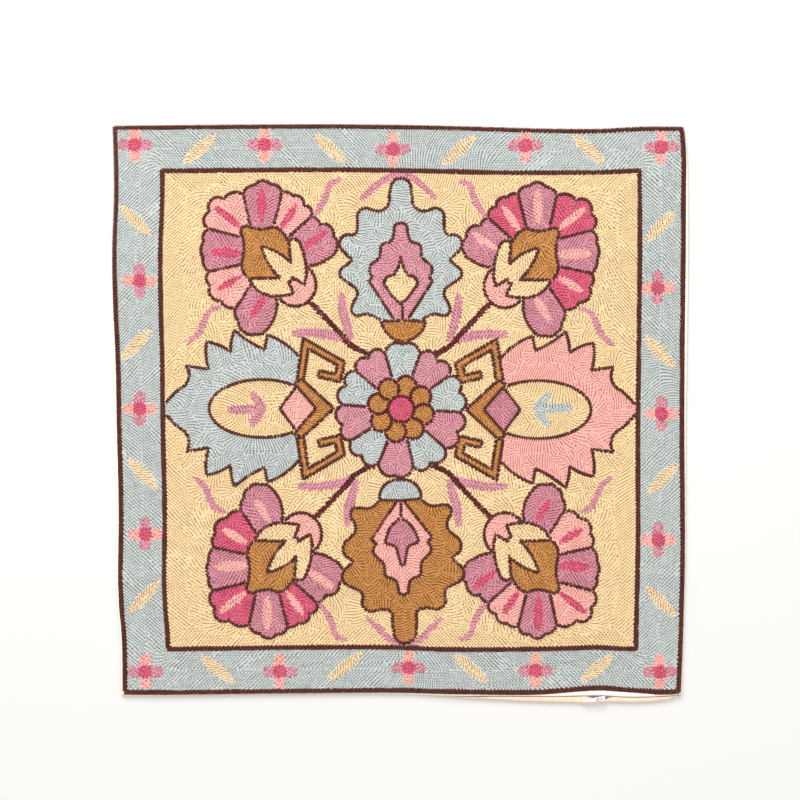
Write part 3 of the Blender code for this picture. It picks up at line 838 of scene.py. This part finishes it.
def level_lines(pattern, height):
    """Lines where the height is a whole number from 0 up, as arrays of points."""
    a, b, c, d = height[:-1, :-1], height[:-1, 1:], height[1:, 1:], height[1:, :-1]
    level = np.floor(np.maximum(np.maximum(a, b), np.maximum(c, d)))
    lowest = np.minimum(np.minimum(a, b), np.minimum(c, d))
    rows, columns = np.nonzero((lowest < level) & (level >= 0) & (level - lowest < 1.0))
    level = level[rows, columns]
    side = height.shape[1]
    corner = [(rows, columns), (rows, columns + 1), (rows + 1, columns + 1), (rows + 1, columns)]
    keys, places, crossed = [], [], []
    for k in range(4):
        (r0, c0), (r1, c1) = corner[k], corner[(k + 1) % 4]
        h0, h1 = height[r0, c0], height[r1, c1]
        crossed.append((h0 < level) != (h1 < level))
        share = (level - h0) / np.where(h1 == h0, 1.0, h1 - h0)
        x = pattern.places[c0] + (pattern.places[c1] - pattern.places[c0]) * share
        y = pattern.places[r0] + (pattern.places[r1] - pattern.places[r0]) * share
        keys.append((np.minimum(r0, r1) * side + np.minimum(c0, c1)) * 2 + (r0 != r1))
        places.append(np.stack((x, y), 1))
    keys, crossed = np.array(keys), np.array(crossed)
    ends = []
    for first, second in ((0, 1), (0, 2), (0, 3), (1, 2), (1, 3), (2, 3)):
        both = crossed[first] & crossed[second] & (crossed.sum(0) == 2)
        ends.append(np.stack((keys[first][both], keys[second][both]), 1))
    for first, second in ((0, 1), (2, 3)):
        both = crossed.sum(0) == 4
        ends.append(np.stack((keys[first][both], keys[second][both]), 1))
    ends = np.concatenate(ends)
    known, firsts = np.unique(keys[crossed], return_index=True)
    place = np.concatenate([places[k][crossed[k]] for k in range(4)])[firsts]
    return chained(np.searchsorted(known, ends), place)


def chained(ends, place):
    """Joins short stretches, given by the numbers of their two ends, to long lines."""
    pairs = np.concatenate((ends, ends[:, ::-1]))
    pairs = pairs[np.argsort(pairs[:, 0], kind="stable")]
    partners = np.full((len(place), 2), -1)
    first = np.concatenate(((True,), pairs[1:, 0] != pairs[:-1, 0]))
    partners[pairs[first, 0], 0] = pairs[first, 1]
    partners[pairs[~first, 0], 1] = pairs[~first, 1]
    partners = partners.tolist()
    used = [False] * len(place)
    starts = [i for i, pair in enumerate(partners) if pair[1] < 0] + list(range(len(place)))
    lines = []
    for start in starts:
        if used[start]:
            continue
        found = [start]
        used[start] = True
        at = start
        while True:
            onward = [i for i in partners[at] if i >= 0 and not used[i]]
            if not onward:
                break
            at = onward[0]
            used[at] = True
            found.append(at)
        if start in partners[at] and len(found) > 2:
            found.append(start)
        if len(found) > 2:
            lines.append(place[found])
    return lines


def seen_runs(line):
    """The stretches of a line that no later shape covers."""
    points, seen = line["points"], line["seen"]
    if seen.all():
        return [np.concatenate((points, points[:1])) if line["closed"] else points]
    if line["closed"] and seen[0] and seen[-1]:
        shift = -int(np.nonzero(~seen)[0][0])
        points, seen = np.roll(points, shift, axis=0), np.roll(seen, shift)
    change = np.nonzero(np.diff(seen.astype(int)))[0] + 1
    runs = np.split(np.arange(len(seen)), change)
    return [points[run] for run in runs if seen[run[0]] and len(run) > 3]


class Line:
    """A line of points with the way run along it."""

    def __init__(self, points):
        self.points = points
        self.run = np.concatenate(((0.0,), np.cumsum(np.hypot(*np.diff(points, axis=0).T))))
        self.length = self.run[-1]
        self.closed = math.hypot(*(points[0] - points[-1])) < 0.01

    def at(self, arcs):
        """The places at these distances along the line."""
        if self.closed:
            arcs = np.mod(arcs, self.length)
        return np.stack([np.interp(arcs, self.run, self.points[:, axis]) for axis in (0, 1)], 1)

    def ways(self, arcs, reach=0.8):
        """The directions at these distances along the line."""
        step = self.at(arcs + reach) - self.at(arcs - reach)
        return step / np.maximum(np.hypot(*step.T), 1e-6)[:, None]


class Stitches:
    """Links as rows of numbers: place, direction, length, width, rise, slant and thread."""

    def __init__(self):
        self.rows = []

    def add(self, places, ways, long, width, rise, slant, threads):
        """Adds links that point along their ways."""
        count = len(places)
        turn = np.arctan2(ways[:, 1], ways[:, 0])
        columns = (places[:, 0], places[:, 1], turn, long, width, rise, slant, threads)
        kept = np.broadcast_to(threads, count) >= 0
        self.rows.append(np.stack([np.broadcast_to(column, count) for column in columns], 1)[kept])

    def table(self):
        """All links as one array."""
        return np.concatenate(self.rows)


def offset_line(line, out):
    """A line moved sideways."""
    step = np.gradient(line, axis=0)
    long = np.maximum(np.hypot(*step.T), 1e-6)
    return line + out * np.stack((-step[:, 1], step[:, 0]), 1) / long[:, None]


def stitch_lines(pattern, stitches):
    """Adds the links of all lines. Returns marks from which the first rows of fill carry on."""
    marks = []
    for line in pattern.lines:
        if line["half"] == 0.0:
            continue
        double = line["half"] == DOUBLE_HALF
        for run in seen_runs(line):
            for out in (-DOUBLE_OFFSET, DOUBLE_OFFSET) if double else (0.0,):
                row = Line(offset_line(run, out) if out else run)
                count = max(1, round(row.length / LINE_LINK))
                long = row.length / count
                arcs = (np.arange(count) + 0.5) * long
                places, ways = row.at(arcs), row.ways(arcs)
                width = 2.0 * (DOUBLE_HALF - DOUBLE_OFFSET) if double else 2.0 * LINE_HALF
                thread = NAMES.index(line["thread"])
                stitches.add(places, ways, long, width, LINE_RISE, LINE_SLANT, thread)
                marks += next_marks(places, ways, 0.0, width / 2 + ROW_PITCH / 2)
    return np.concatenate(marks)


def next_marks(places, ways, slant, reach):
    """Where the ranks of these links cross the rows on both sides of them."""
    normal = np.stack((-ways[:, 1], ways[:, 0]), 1)
    lean = normal + np.broadcast_to(slant, len(places))[:, None] * ways
    return [places + reach * lean, places - reach * lean]


def along_ranks(row, arcs, long):
    """Distances along a row that keep to given ones, made even where those crowd or part."""

    def link(arc):
        return np.interp(arc, row.run, long)

    kept = []
    for arc in np.sort(arcs).tolist():
        if not kept or arc - kept[-1] > CROWDED * link(arc):
            kept.append(arc)
    if row.closed and len(kept) > 1 and kept[0] + row.length - kept[-1] < CROWDED * link(0.0):
        kept.pop()
    if not kept:
        kept = [link(0.0) / 2]
    if row.closed:
        ends = kept + [kept[0] + row.length]
    else:
        low = max(0, round(kept[0] / link(0.0) - 0.5))
        high = max(0, round((row.length - kept[-1]) / link(row.length) - 0.5))
        before = [kept[0] - link(0.0) * (k + 1) for k in range(low)][::-1]
        ends = before + kept + [kept[-1] + link(row.length) * (k + 1) for k in range(high)]
    found = []
    for first, second in zip(ends, ends[1:]):
        steps = max(1, round((second - first) / link((first + second) / 2)))
        found += [between(first, second, step / steps) for step in range(steps)]
    if not row.closed:
        found.append(ends[-1])
    found = np.array(found)
    if len(found) > 4:
        found[1:-1] = 0.5 * found[1:-1] + 0.25 * (found[2:] + found[:-2])
    return found


def stitch_fill(pattern, stitches, rows, marks, slants):
    """Adds the links of rows by their level. The ranks of each level carry on those of the one before."""
    side = len(pattern.places)
    for level in range(max(rows) + 1):
        lines = [Line(points) for points in rows.get(level, [])]
        lines = [line for line in lines if line.length > SHORTEST_ROW]
        if not lines:
            continue
        owner = np.full((side, side), -1, dtype=np.int32)
        arc_at = np.zeros((side, side), dtype=np.float32)
        dense = [np.arange(0.0, line.length, ROW_STEP) for line in lines]
        places = np.concatenate([line.at(arcs) for line, arcs in zip(lines, dense)])
        numbers = np.repeat(np.arange(len(lines)), [len(arcs) for arcs in dense])
        r, c = pattern.squares(places)
        for up, right in ((-1, -1), (-1, 1), (1, -1), (1, 1), (0, -1), (0, 1), (-1, 0), (1, 0), (0, 0)):
            at = np.clip(r + up, 0, side - 1), np.clip(c + right, 0, side - 1)
            owner[at] = numbers
            arc_at[at] = np.concatenate(dense)
        at = pattern.squares(marks)
        hit = owner[at] >= 0
        hit_lines, hit_arcs = owner[at][hit], arc_at[at][hit]
        order = np.argsort(hit_lines, kind="stable")
        bounds = np.searchsorted(hit_lines[order], np.arange(len(lines) + 1))
        marks = []
        for number, line in enumerate(lines):
            own = hit_arcs[order[bounds[number] : bounds[number + 1]]]
            long = LINK * np.hypot(1.0, slants[pattern.squares(line.points)])
            arcs = along_ranks(line, own, long)
            places, ways = line.at(arcs), line.ways(arcs)
            squares = pattern.squares(places)
            slant = slants[squares]
            even = LINK * np.hypot(1.0, slant)
            gaps = np.diff(arcs)
            last = (arcs[0] + line.length - arcs[-1],) if line.closed else even[-1:]
            first = last if line.closed else even[:1]
            gaps = np.concatenate((first, gaps, last))
            long = np.clip((gaps[:-1] + gaps[1:]) / 2, SHORTEST_LINK * even, LONGEST_LINK * even)
            threads = pattern.thread[squares].astype(float)
            rise = np.where(pattern.plain[squares], PLAIN_RISE, FILL_RISE)
            stitches.add(places, ways, long, LINK_WIDTH * ROW_PITCH, rise, slant, threads)
            marks += next_marks(places, ways, slant, ROW_PITCH)
        marks = np.concatenate(marks)


def fill_gaps(pattern, stitches):
    """Adds single links where two rows that meet leave a gap."""
    table = stitches.table()
    back = np.stack((np.cos(table[:, 2]), np.sin(table[:, 2])), 1) * table[:, 3:4] / 4
    points = np.concatenate((table[:, :2] - back, table[:, :2] + back))
    distance, nearest = distances(pattern, points, np.zeros(len(points)))
    rows, columns = np.nonzero((distance > GAP_FROM * ROW_PITCH) & (pattern.thread >= 0))
    order = np.argsort(-distance[rows, columns])
    taken = {}
    places, ways = [], []
    for row, column in zip(rows[order].tolist(), columns[order].tolist()):
        x, y = pattern.places[column], pattern.places[row]
        across, up = int(x // LINK), int(y // LINK)
        around = [(i, j) for i in range(across - 1, across + 2) for j in range(up - 1, up + 2)]
        near = [taken[cell] for cell in around if cell in taken]
        if all(math.hypot(x - other[0], y - other[1]) > GAP_NEAR * LINK for other in near):
            taken[across, up] = (x, y)
            to_row = points[nearest[row, column]] - (x, y)
            places.append((x, y))
            ways.append((-to_row[1], to_row[0]))
    places, ways = np.array(places), np.array(ways)
    threads = pattern.thread[pattern.squares(places)].astype(float)
    stitches.add(places, ways, LINK, ROW_PITCH, GAP_RISE * FILL_RISE, 0.0, threads)


def all_stitches(pattern):
    """The links of lines and fill."""
    seeded = np.random.default_rng(SEED)
    stitches = Stitches()
    marks = stitch_lines(pattern, stitches)
    stray = WAVE * waves(pattern, seeded, WAVE_CELL)
    rows = {}
    for plain in (False, True):
        kept = [line for line in pattern.lines if plain or line["half"] > 0.0]
        points = [line["points"][line["seen"]] for line in kept]
        halves = [np.full(len(own), line["half"]) for own, line in zip(points, kept)]
        distance, _ = distances(pattern, np.concatenate(points), np.concatenate(halves))
        own = (pattern.plain == plain) & (pattern.thread >= 0)
        height = np.where(own, (distance + stray) / ROW_PITCH - 0.5, OUTSIDE)
        for points in level_lines(pattern, height):
            row, column = pattern.squares(points[len(points) // 2 :][:1])
            near = height[row[0] - 1 : row[0] + 2, column[0] - 1 : column[0] + 2].max()
            rows.setdefault(max(0, int(near + 0.25)), []).append(points)
    sides = np.clip(pattern.places / SLANT_REACH, -LEAN_LIMIT, LEAN_LIMIT)
    slants = SLANT * waves(pattern, seeded, SLANT_CELL) + sides[:, None] * sides[None, :]
    slants = np.clip(slants, -1.0, 1.0)
    stitch_fill(pattern, stitches, rows, marks, slants)
    fill_gaps(pattern, stitches)
    return stitches.table()


# One link, pointing along +X: (along, across, up) as shares of its length, width and rise.
# It is a low ridge in the shape of an arrow head, whose ends meet those of the rows beside it.
LINK_POINTS = (
    (0.54, 0.66, 0.0), (0.80, 0.0, 0.0), (0.54, -0.66, 0.0), (-0.06, 0.54, 0.85), (0.18, 0.0, 1.0),
    (-0.06, -0.54, 0.85), (-0.70, 0.64, 0.0), (-0.46, 0.0, 0.0), (-0.70, -0.64, 0.0),
)
LINK_FACES = (
    (0, 3, 4), (0, 4, 1), (2, 1, 4), (2, 4, 5), (3, 6, 7), (3, 7, 4), (5, 4, 7), (5, 7, 8),
    (0, 6, 3), (2, 5, 8), (0, 1, 7), (1, 2, 7), (2, 8, 7), (0, 7, 6),
)


# How links differ: by turn in radians, and by shares of length, width and rise
TURN_SPREAD = 0.05
LENGTH_SPREAD, WIDTH_SPREAD, RISE_SPREAD = (0.96, 1.10), (0.94, 1.05), (0.88, 1.10)
FOOT = 0.15  # how deep a link stands in the ground cloth


def stitch_pieces(table, materials):
    """One piece or more for each thread, all its links joined."""
    seeded = np.random.default_rng(SEED + 1)
    count = len(table)
    x, y, turn, long, width, rise, slant, thread = table.T
    turn = turn + seeded.normal(0.0, TURN_SPREAD, count)
    long = long * seeded.uniform(*LENGTH_SPREAD, count)
    width = width * seeded.uniform(*WIDTH_SPREAD, count)
    rise = rise * seeded.uniform(*RISE_SPREAD, count)
    tone = seeded.uniform(0.0, 1.0, count)
    shape = np.array(LINK_POINTS)
    across = shape[None, :, 1] * width[:, None]
    along = shape[None, :, 0] * long[:, None] + across * slant[:, None]
    point_x = x[:, None] + along * np.cos(turn)[:, None] - across * np.sin(turn)[:, None]
    point_y = y[:, None] + along * np.sin(turn)[:, None] + across * np.cos(turn)[:, None]
    point_z = ground_height(point_x, point_y) - FOOT + shape[None, :, 2] * (rise[:, None] + FOOT)
    points = np.stack((point_x, point_y + MIDDLE_Y, point_z), 2)
    made = []
    for index, name in enumerate(NAMES):
        own = np.nonzero(thread == index)[0]
        parts = max(1, math.ceil(len(own) / MOST_LINKS))
        own = own[np.argsort(-y[own], kind="stable")]
        for part, links in enumerate(np.array_split(own, parts)):
            piece = f"{name}_stitches" + (f"_{part + 1}" if parts > 1 else "")
            made.append(links_mesh(piece, points[links], tone[links], materials[name]))
    return made


def links_mesh(name, points, tone, material):
    """One mesh of links, with the tone of each and how high each point stands in its link."""
    links, corners = points.shape[:2]
    faces = (np.array(LINK_FACES)[None] + corners * np.arange(links)[:, None, None]).reshape(-1, 3)
    mesh = bpy.data.meshes.new(name)
    mesh.vertices.add(links * corners)
    mesh.vertices.foreach_set("co", (points * MM).astype(np.float32).ravel())
    mesh.loops.add(faces.size)
    mesh.loops.foreach_set("vertex_index", faces.astype(np.int32).ravel())
    mesh.polygons.add(len(faces))
    mesh.polygons.foreach_set("loop_start", np.arange(0, faces.size, 3, dtype=np.int32))
    mesh.update(calc_edges=True)
    mesh.shade_smooth()
    # How high each point stands in its link, which the thread material uses to paint shade low between
    # links
    rise = np.tile(np.array(LINK_POINTS)[:, 2], links)
    for attribute, values in (("tone", np.repeat(tone, corners)), ("rise", rise)):
        layer = mesh.attributes.new(attribute, "FLOAT", "POINT")
        layer.data.foreach_set("value", values.astype(np.float32))
    seen_from_above(mesh)
    mesh.materials.append(material)
    piece = bpy.data.objects.new(name, mesh)
    bpy.context.scene.collection.objects.link(piece)
    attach(piece, "root")
    return piece


def seen_from_above(mesh):
    """Gives a mesh the UV map of a view from above."""
    places = np.empty(len(mesh.vertices) * 3, dtype=np.float32)
    mesh.vertices.foreach_get("co", places)
    corner = np.empty(len(mesh.loops), dtype=np.int32)
    mesh.loops.foreach_get("vertex_index", corner)
    flat = places.reshape(-1, 3)[corner, :2] / (2.0 * REACH * MM * 1.02) + 0.5
    mesh.uv_layers.new(name="OFBake").data.foreach_set("uv", flat.astype(np.float32).ravel())


# Cloths and zip


def close_rows(start, end, near_start, near_end, spacing):
    """Places from start to end: close together near both ends, and evenly between."""
    fixed = [start + off for off in near_start] + [end - off for off in reversed(near_end)]
    low, high = fixed[len(near_start) - 1], fixed[len(near_start)]
    steps = max(1, round((high - low) / spacing))
    inner = [between(low, high, step / steps) for step in range(1, steps)]
    return np.array(fixed[: len(near_start)] + inner + fixed[len(near_start) :])


def grid_piece(name, points, material):
    """A grid of points (rows, columns, xyz) as a mesh object."""
    rows, columns = points.shape[:2]
    bpy.ops.mesh.primitive_grid_add(x_subdivisions=columns - 1, y_subdivisions=rows - 1)
    piece = bpy.context.object
    piece.name = piece.data.name = name
    piece.data.vertices.foreach_set("co", (points * MM).astype(np.float32).ravel())
    piece.data.materials.append(material)
    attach(piece, "root")
    return piece


def walled(piece, thickness):
    """Gives a sheet its thickness, under its upper face."""
    wall = piece.modifiers.new("Wall", "SOLIDIFY")
    wall.thickness = thickness * MM
    wall.offset = -1.0
    bpy.context.view_layer.objects.active = piece
    bpy.ops.object.modifier_apply(modifier=wall.name)
    piece.data.shade_smooth()


GROUND_WALL = 1.0
SIDE_ROWS = (0.0, 0.08, 0.32, 0.7, 1.2, 1.8, 2.4, 3.6, 5.0)
GROUND_SPACING = 4.6


def ground_cloth(material, pattern):
    """The cotton cloth under the stitches, which rolls down to the seam."""
    places = close_rows(-HALF, HALF, SIDE_ROWS, SIDE_ROWS, GROUND_SPACING)
    column, row = np.meshgrid(places, places)
    in_x = np.maximum(0.0, EDGE_ROLL - (HALF - abs(column)))
    in_y = np.maximum(0.0, EDGE_ROLL - (HALF - abs(row)))
    corner = np.maximum(in_x, in_y) / np.maximum(np.hypot(in_x, in_y), 1e-6)
    both = (in_x > 0.0) & (in_y > 0.0)
    column = column + np.where(both, np.copysign(in_x, column) * (corner - 1.0), 0.0)
    row = row + np.where(both, np.copysign(in_y, row) * (corner - 1.0), 0.0)
    x, y = lying(column, row)
    z = ground_height(x, y)
    piece = grid_piece("ground_cloth", np.stack((x, y + MIDDLE_Y, z), 2), material)
    # Where stitches cover the ground, the cotton material paints shade over its colour
    covered = pattern.thread[pattern.squares(np.stack((x.ravel(), y.ravel()), 1))] >= 0
    layer = piece.data.attributes.new("covered", "FLOAT", "POINT")
    layer.data.foreach_set("value", covered.astype(np.float32))
    walled(piece, GROUND_WALL)
    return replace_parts(piece, "front_panel")


BACK_SIDE_ROWS = (0.0, 1.2, 6.0)
BACK_COLUMN_SPACING, BACK_ROW_SPACING = 3.2, 16.0
ARC_STEPS, RUN_STEPS = 10, 4


def back_cloth(material):
    """The plain cotton back, whose lower side curls up beside the zip."""
    columns = close_rows(-HALF, HALF, BACK_SIDE_ROWS, BACK_SIDE_ROWS, BACK_COLUMN_SPACING)
    flat = close_rows(-HALF, HALF, (0.0, 2.0, 6.0), BACK_SIDE_ROWS, BACK_ROW_SPACING)
    half_wall = BACK_WALL / 2
    found = []
    shares = [(1.0, (k + 1) / RUN_STEPS) for k in range(RUN_STEPS)][::-1]
    shares += [((k + 1) / ARC_STEPS, 0.0) for k in range(ARC_STEPS)][::-1]
    for arc_share, run_share in shares:
        x, y = lying(columns, np.full(len(columns), -HALF), BACK_INSET, lip_start)
        outwards, up, slant = lip_step(x, arc_share, run_share)
        y = y - outwards + half_wall * np.sin(slant)
        found.append(np.stack((x, y + MIDDLE_Y, half_wall + up + half_wall * np.cos(slant)), 1))
    for row in flat:
        x, y = lying(columns, np.full(len(columns), row), BACK_INSET, lip_start)
        lift = BACK_CREASE_SHARE * crease(x, y) * eased((HALF - abs(columns)) / BACK_CREASE_START)
        found.append(np.stack((x, y + MIDDLE_Y, BACK_WALL + lift), 1))
    piece = grid_piece("back_cloth", np.stack(found), material)
    walled(piece, BACK_WALL)
    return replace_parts(piece, "back_panel")


TOOTH_PITCH = 1.3
CHAIN_ROWS = (-1.0, -0.75, -0.3, 0.0, 0.3, 0.75, 1.0)


def zip_teeth(material):
    """The closed coil as a ribbed strip under the groove."""
    x = np.arange(CHAIN_FROM, CHAIN_TO, TOOTH_PITCH / 4)
    along, across = np.meshgrid(x, CHAIN_ROWS)
    middle = lower_side(along) - GROOVE / 2
    ribs = np.cos(2.0 * math.pi * along / TOOTH_PITCH + math.pi * (across > 0))
    z = BACK_WALL + SHEET_GAP + CHAIN_HEIGHT + 0.12 * ribs * (abs(across) < 0.9) + 0.1 * (1 - across**2)
    points = np.stack((along, middle + across * CHAIN_WIDTH / 2 + MIDDLE_Y, z), 2)
    piece = grid_piece("zip_coil", points, material)
    walled(piece, 0.6)
    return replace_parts(piece, "zip_chain")


# Materials

FIBRE = 0.35 * MM  # size of the thread's fine fibres
PLY = 1.1 * MM  # length of a ply's twist that shows
YARN = 0.45 * MM  # pitch of the cotton's yarns
SLUB = 3.0 * MM  # length of the cotton's uneven stretches
WAVE_TURN = 2.0 * math.pi / 20.0  # the scale at which a wave texture has one wave to a unit
BUMP = 0.1 * MM
# Painted shade: the low points of each link, in the pits between links, go towards the darkest colour
PIT, CREST = 0.30, 0.95  # the levels at which thread is darkest and lightest
UNDER_STITCH_SHADE = "b09c80"  # cotton in the shade of its stitches


def linear(code):
    """The linear colour of an sRGB code such as ffcc88."""
    found = []
    for at in (0, 2, 4):
        value = int(code[at : at + 2], 16) / 255.0
        found.append(value / 12.92 if value <= 0.04045 else ((value + 0.055) / 1.055) ** 2.4)
    return (*found, 1.0)


def node(tree, kind, inputs=(), **settings):
    """Adds a shader node with settings, and with inputs that are values or other nodes' outputs."""
    made = tree.nodes.new(kind)
    for name, value in settings.items():
        setattr(made, name, value)
    for name, value in dict(inputs).items():
        if isinstance(value, bpy.types.NodeSocket):
            tree.links.new(value, made.inputs[name])
        else:
            made.inputs[name].default_value = value
    return made


def new_material(name, roughness, colour="ffffff", metallic=0.0):
    """(material, its node tree, its shader)."""
    made = bpy.data.materials.new(name)
    made.use_nodes = True
    shader = made.node_tree.nodes["Principled BSDF"]
    shader.inputs["Base Color"].default_value = linear(colour)
    shader.inputs["Roughness"].default_value = roughness
    shader.inputs["Metallic"].default_value = metallic
    return made, made.node_tree, shader


def thread_material(name, light, dark):
    """Dyed wool: matt, fuzzy with fibres, with painted shade down between links, and each link its own
    tone.
    """
    made, tree, shader = new_material(f"{name} woollen thread", 0.75)
    tone = node(tree, "ShaderNodeAttribute", attribute_name="tone").outputs["Fac"]
    rise = node(tree, "ShaderNodeAttribute", attribute_name="rise").outputs["Fac"]
    place = node(tree, "ShaderNodeTexCoord").outputs["Object"]
    noise = "ShaderNodeTexNoise"
    fibres = node(tree, noise, {"Vector": place, "Scale": 1 / FIBRE, "Detail": 2.0}).outputs["Fac"]
    plies = node(tree, noise, {"Vector": place, "Scale": 1 / PLY, "Detail": 1.0}).outputs["Fac"]
    level = 0.0
    # A point's height in its link sets most of the level, so low points take painted shade; tone and plies
    # add real variation
    for value, share in ((rise, 0.75), (tone, 0.28), (plies, 0.28)):
        sum_inputs = {0: value, 1: share, 2: level}
        level = node(tree, "ShaderNodeMath", sum_inputs, operation="MULTIPLY_ADD").outputs[0]
    ramp = node(tree, "ShaderNodeValToRGB", {"Fac": level})
    ramp.color_ramp.elements[0].position = PIT
    ramp.color_ramp.elements[0].color = linear(dark)
    ramp.color_ramp.elements[1].position = CREST
    ramp.color_ramp.elements[1].color = linear(light)
    bump = node(tree, "ShaderNodeBump", {"Height": fibres, "Strength": 0.5, "Distance": BUMP})
    tree.links.new(ramp.outputs["Color"], shader.inputs["Base Color"])
    tree.links.new(bump.outputs["Normal"], shader.inputs["Normal"])
    shader.inputs["Specular IOR Level"].default_value = 0.25
    return made


def cotton_material(name, light, dark):
    """Plain woven cotton: matt, with a fine weave and slubs, and with painted shade where stitches cover
    it.
    """
    made, tree, shader = new_material(name, 0.85)
    place = node(tree, "ShaderNodeTexCoord").outputs["Object"]
    yarns = []
    for direction in ("X", "Y"):
        wave_inputs = {"Vector": place, "Scale": WAVE_TURN / YARN, "Distortion": 1.5}
        wave = node(tree, "ShaderNodeTexWave", wave_inputs, bands_direction=direction)
        yarns.append(wave.outputs["Fac"])
    weave = node(tree, "ShaderNodeMath", {0: yarns[0], 1: yarns[1]}, operation="MULTIPLY").outputs[0]
    slub_inputs = {"Vector": place, "Scale": 1 / SLUB, "Detail": 4.0}
    slubs = node(tree, "ShaderNodeTexNoise", slub_inputs).outputs["Fac"]
    level = node(tree, "ShaderNodeMath", {0: weave, 1: 0.5, 2: slubs}, operation="MULTIPLY_ADD").outputs[0]
    ramp = node(tree, "ShaderNodeValToRGB", {"Fac": level})
    ramp.color_ramp.elements[0].position = 0.3
    ramp.color_ramp.elements[0].color = linear(dark)
    ramp.color_ramp.elements[1].position = 0.9
    ramp.color_ramp.elements[1].color = linear(light)
    bump = node(tree, "ShaderNodeBump", {"Height": weave, "Strength": 0.5, "Distance": BUMP})
    # Painted shade: the stitched part of the cotton takes the darker colour of cotton in its stitches'
    # shade
    covered = node(tree, "ShaderNodeAttribute", attribute_name="covered").outputs["Fac"]
    shaded = node(tree, "ShaderNodeMix", {"Factor": covered}, data_type="RGBA")
    tree.links.new(ramp.outputs["Color"], shaded.inputs[6])
    shaded.inputs[7].default_value = linear(UNDER_STITCH_SHADE)
    tree.links.new(shaded.outputs[2], shader.inputs["Base Color"])
    tree.links.new(bump.outputs["Normal"], shader.inputs["Normal"])
    return made


# Stage

CAMERA_Y, CAMERA_HEIGHT = 0.01137, 1.5017
WORLD_LIGHT = 0.66
LAMPS = (("key", (-0.5, 1.5, 1.5), 1.2, 42.0), ("fill", (0.8, -0.6, 2.2), 2.0, 16.0))  # place, size, watts


def stage():
    """A pale floor, soft light mostly from the cover's upper side, and a camera straight above."""
    bpy.ops.mesh.primitive_plane_add(size=6.0, location=(0.0, 0.0, -0.0002))
    floor = bpy.context.object
    floor.name = "floor"
    floor.data.materials.append(new_material("pale floor", 0.9, "e0dedb")[0])
    world = bpy.data.worlds.new("studio")
    world.use_nodes = True
    world.node_tree.nodes["Background"].inputs["Color"].default_value = (1.0, 1.0, 1.0, 1.0)
    world.node_tree.nodes["Background"].inputs["Strength"].default_value = WORLD_LIGHT
    bpy.context.scene.world = world
    for name, place, size, watts in LAMPS:
        lamp = bpy.data.lights.new(name, "AREA")
        lamp.size = size
        lamp.energy = watts
        light = bpy.data.objects.new(name, lamp)
        light.location = place
        light.rotation_euler = aimed(place)
        bpy.context.scene.collection.objects.link(light)
    camera = bpy.data.objects.new("camera", bpy.data.cameras.new("camera"))
    camera.data.lens = 85.0
    camera.data.sensor_width = 36.0
    camera.location = (0.0, CAMERA_Y, CAMERA_HEIGHT)
    bpy.context.scene.collection.objects.link(camera)
    bpy.context.scene.camera = camera
    bpy.context.scene.view_settings.view_transform = "Standard"


def aimed(place):
    """The rotation that points a lamp at the cover's middle."""
    flat = math.hypot(place[0], place[1])
    return (math.atan2(flat, place[2]), 0.0, math.atan2(place[0], -place[1]))


def build():
    """Makes every piece."""
    materials = {name: thread_material(name, *colours) for name, colours in THREADS.items()}
    white_cotton = cotton_material("off-white cotton", "fffdf4", "e9e2d2")
    peach_cotton = cotton_material("peach cotton", "fde6cd", "ecc4a2")
    pattern = whole_pattern()
    links = stitch_pieces(all_stitches(pattern), materials)
    ground = ground_cloth(white_cotton, pattern)
    back = back_cloth(peach_cotton)
    zip_teeth(new_material("mauve nylon coil", 0.5, "b58fa0")[0])
    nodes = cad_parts
    for name, material in (
        ("zip_slider", new_material("nickel plated slider", 0.3, "cfcbd2", 1.0)[0]),
        ("zip_pull", new_material("pale enamelled pull", 0.35, "e9dfe9")[0]),
    ):
        nodes[name].data.materials.clear()
        nodes[name].data.materials.append(material)


build()
stage()
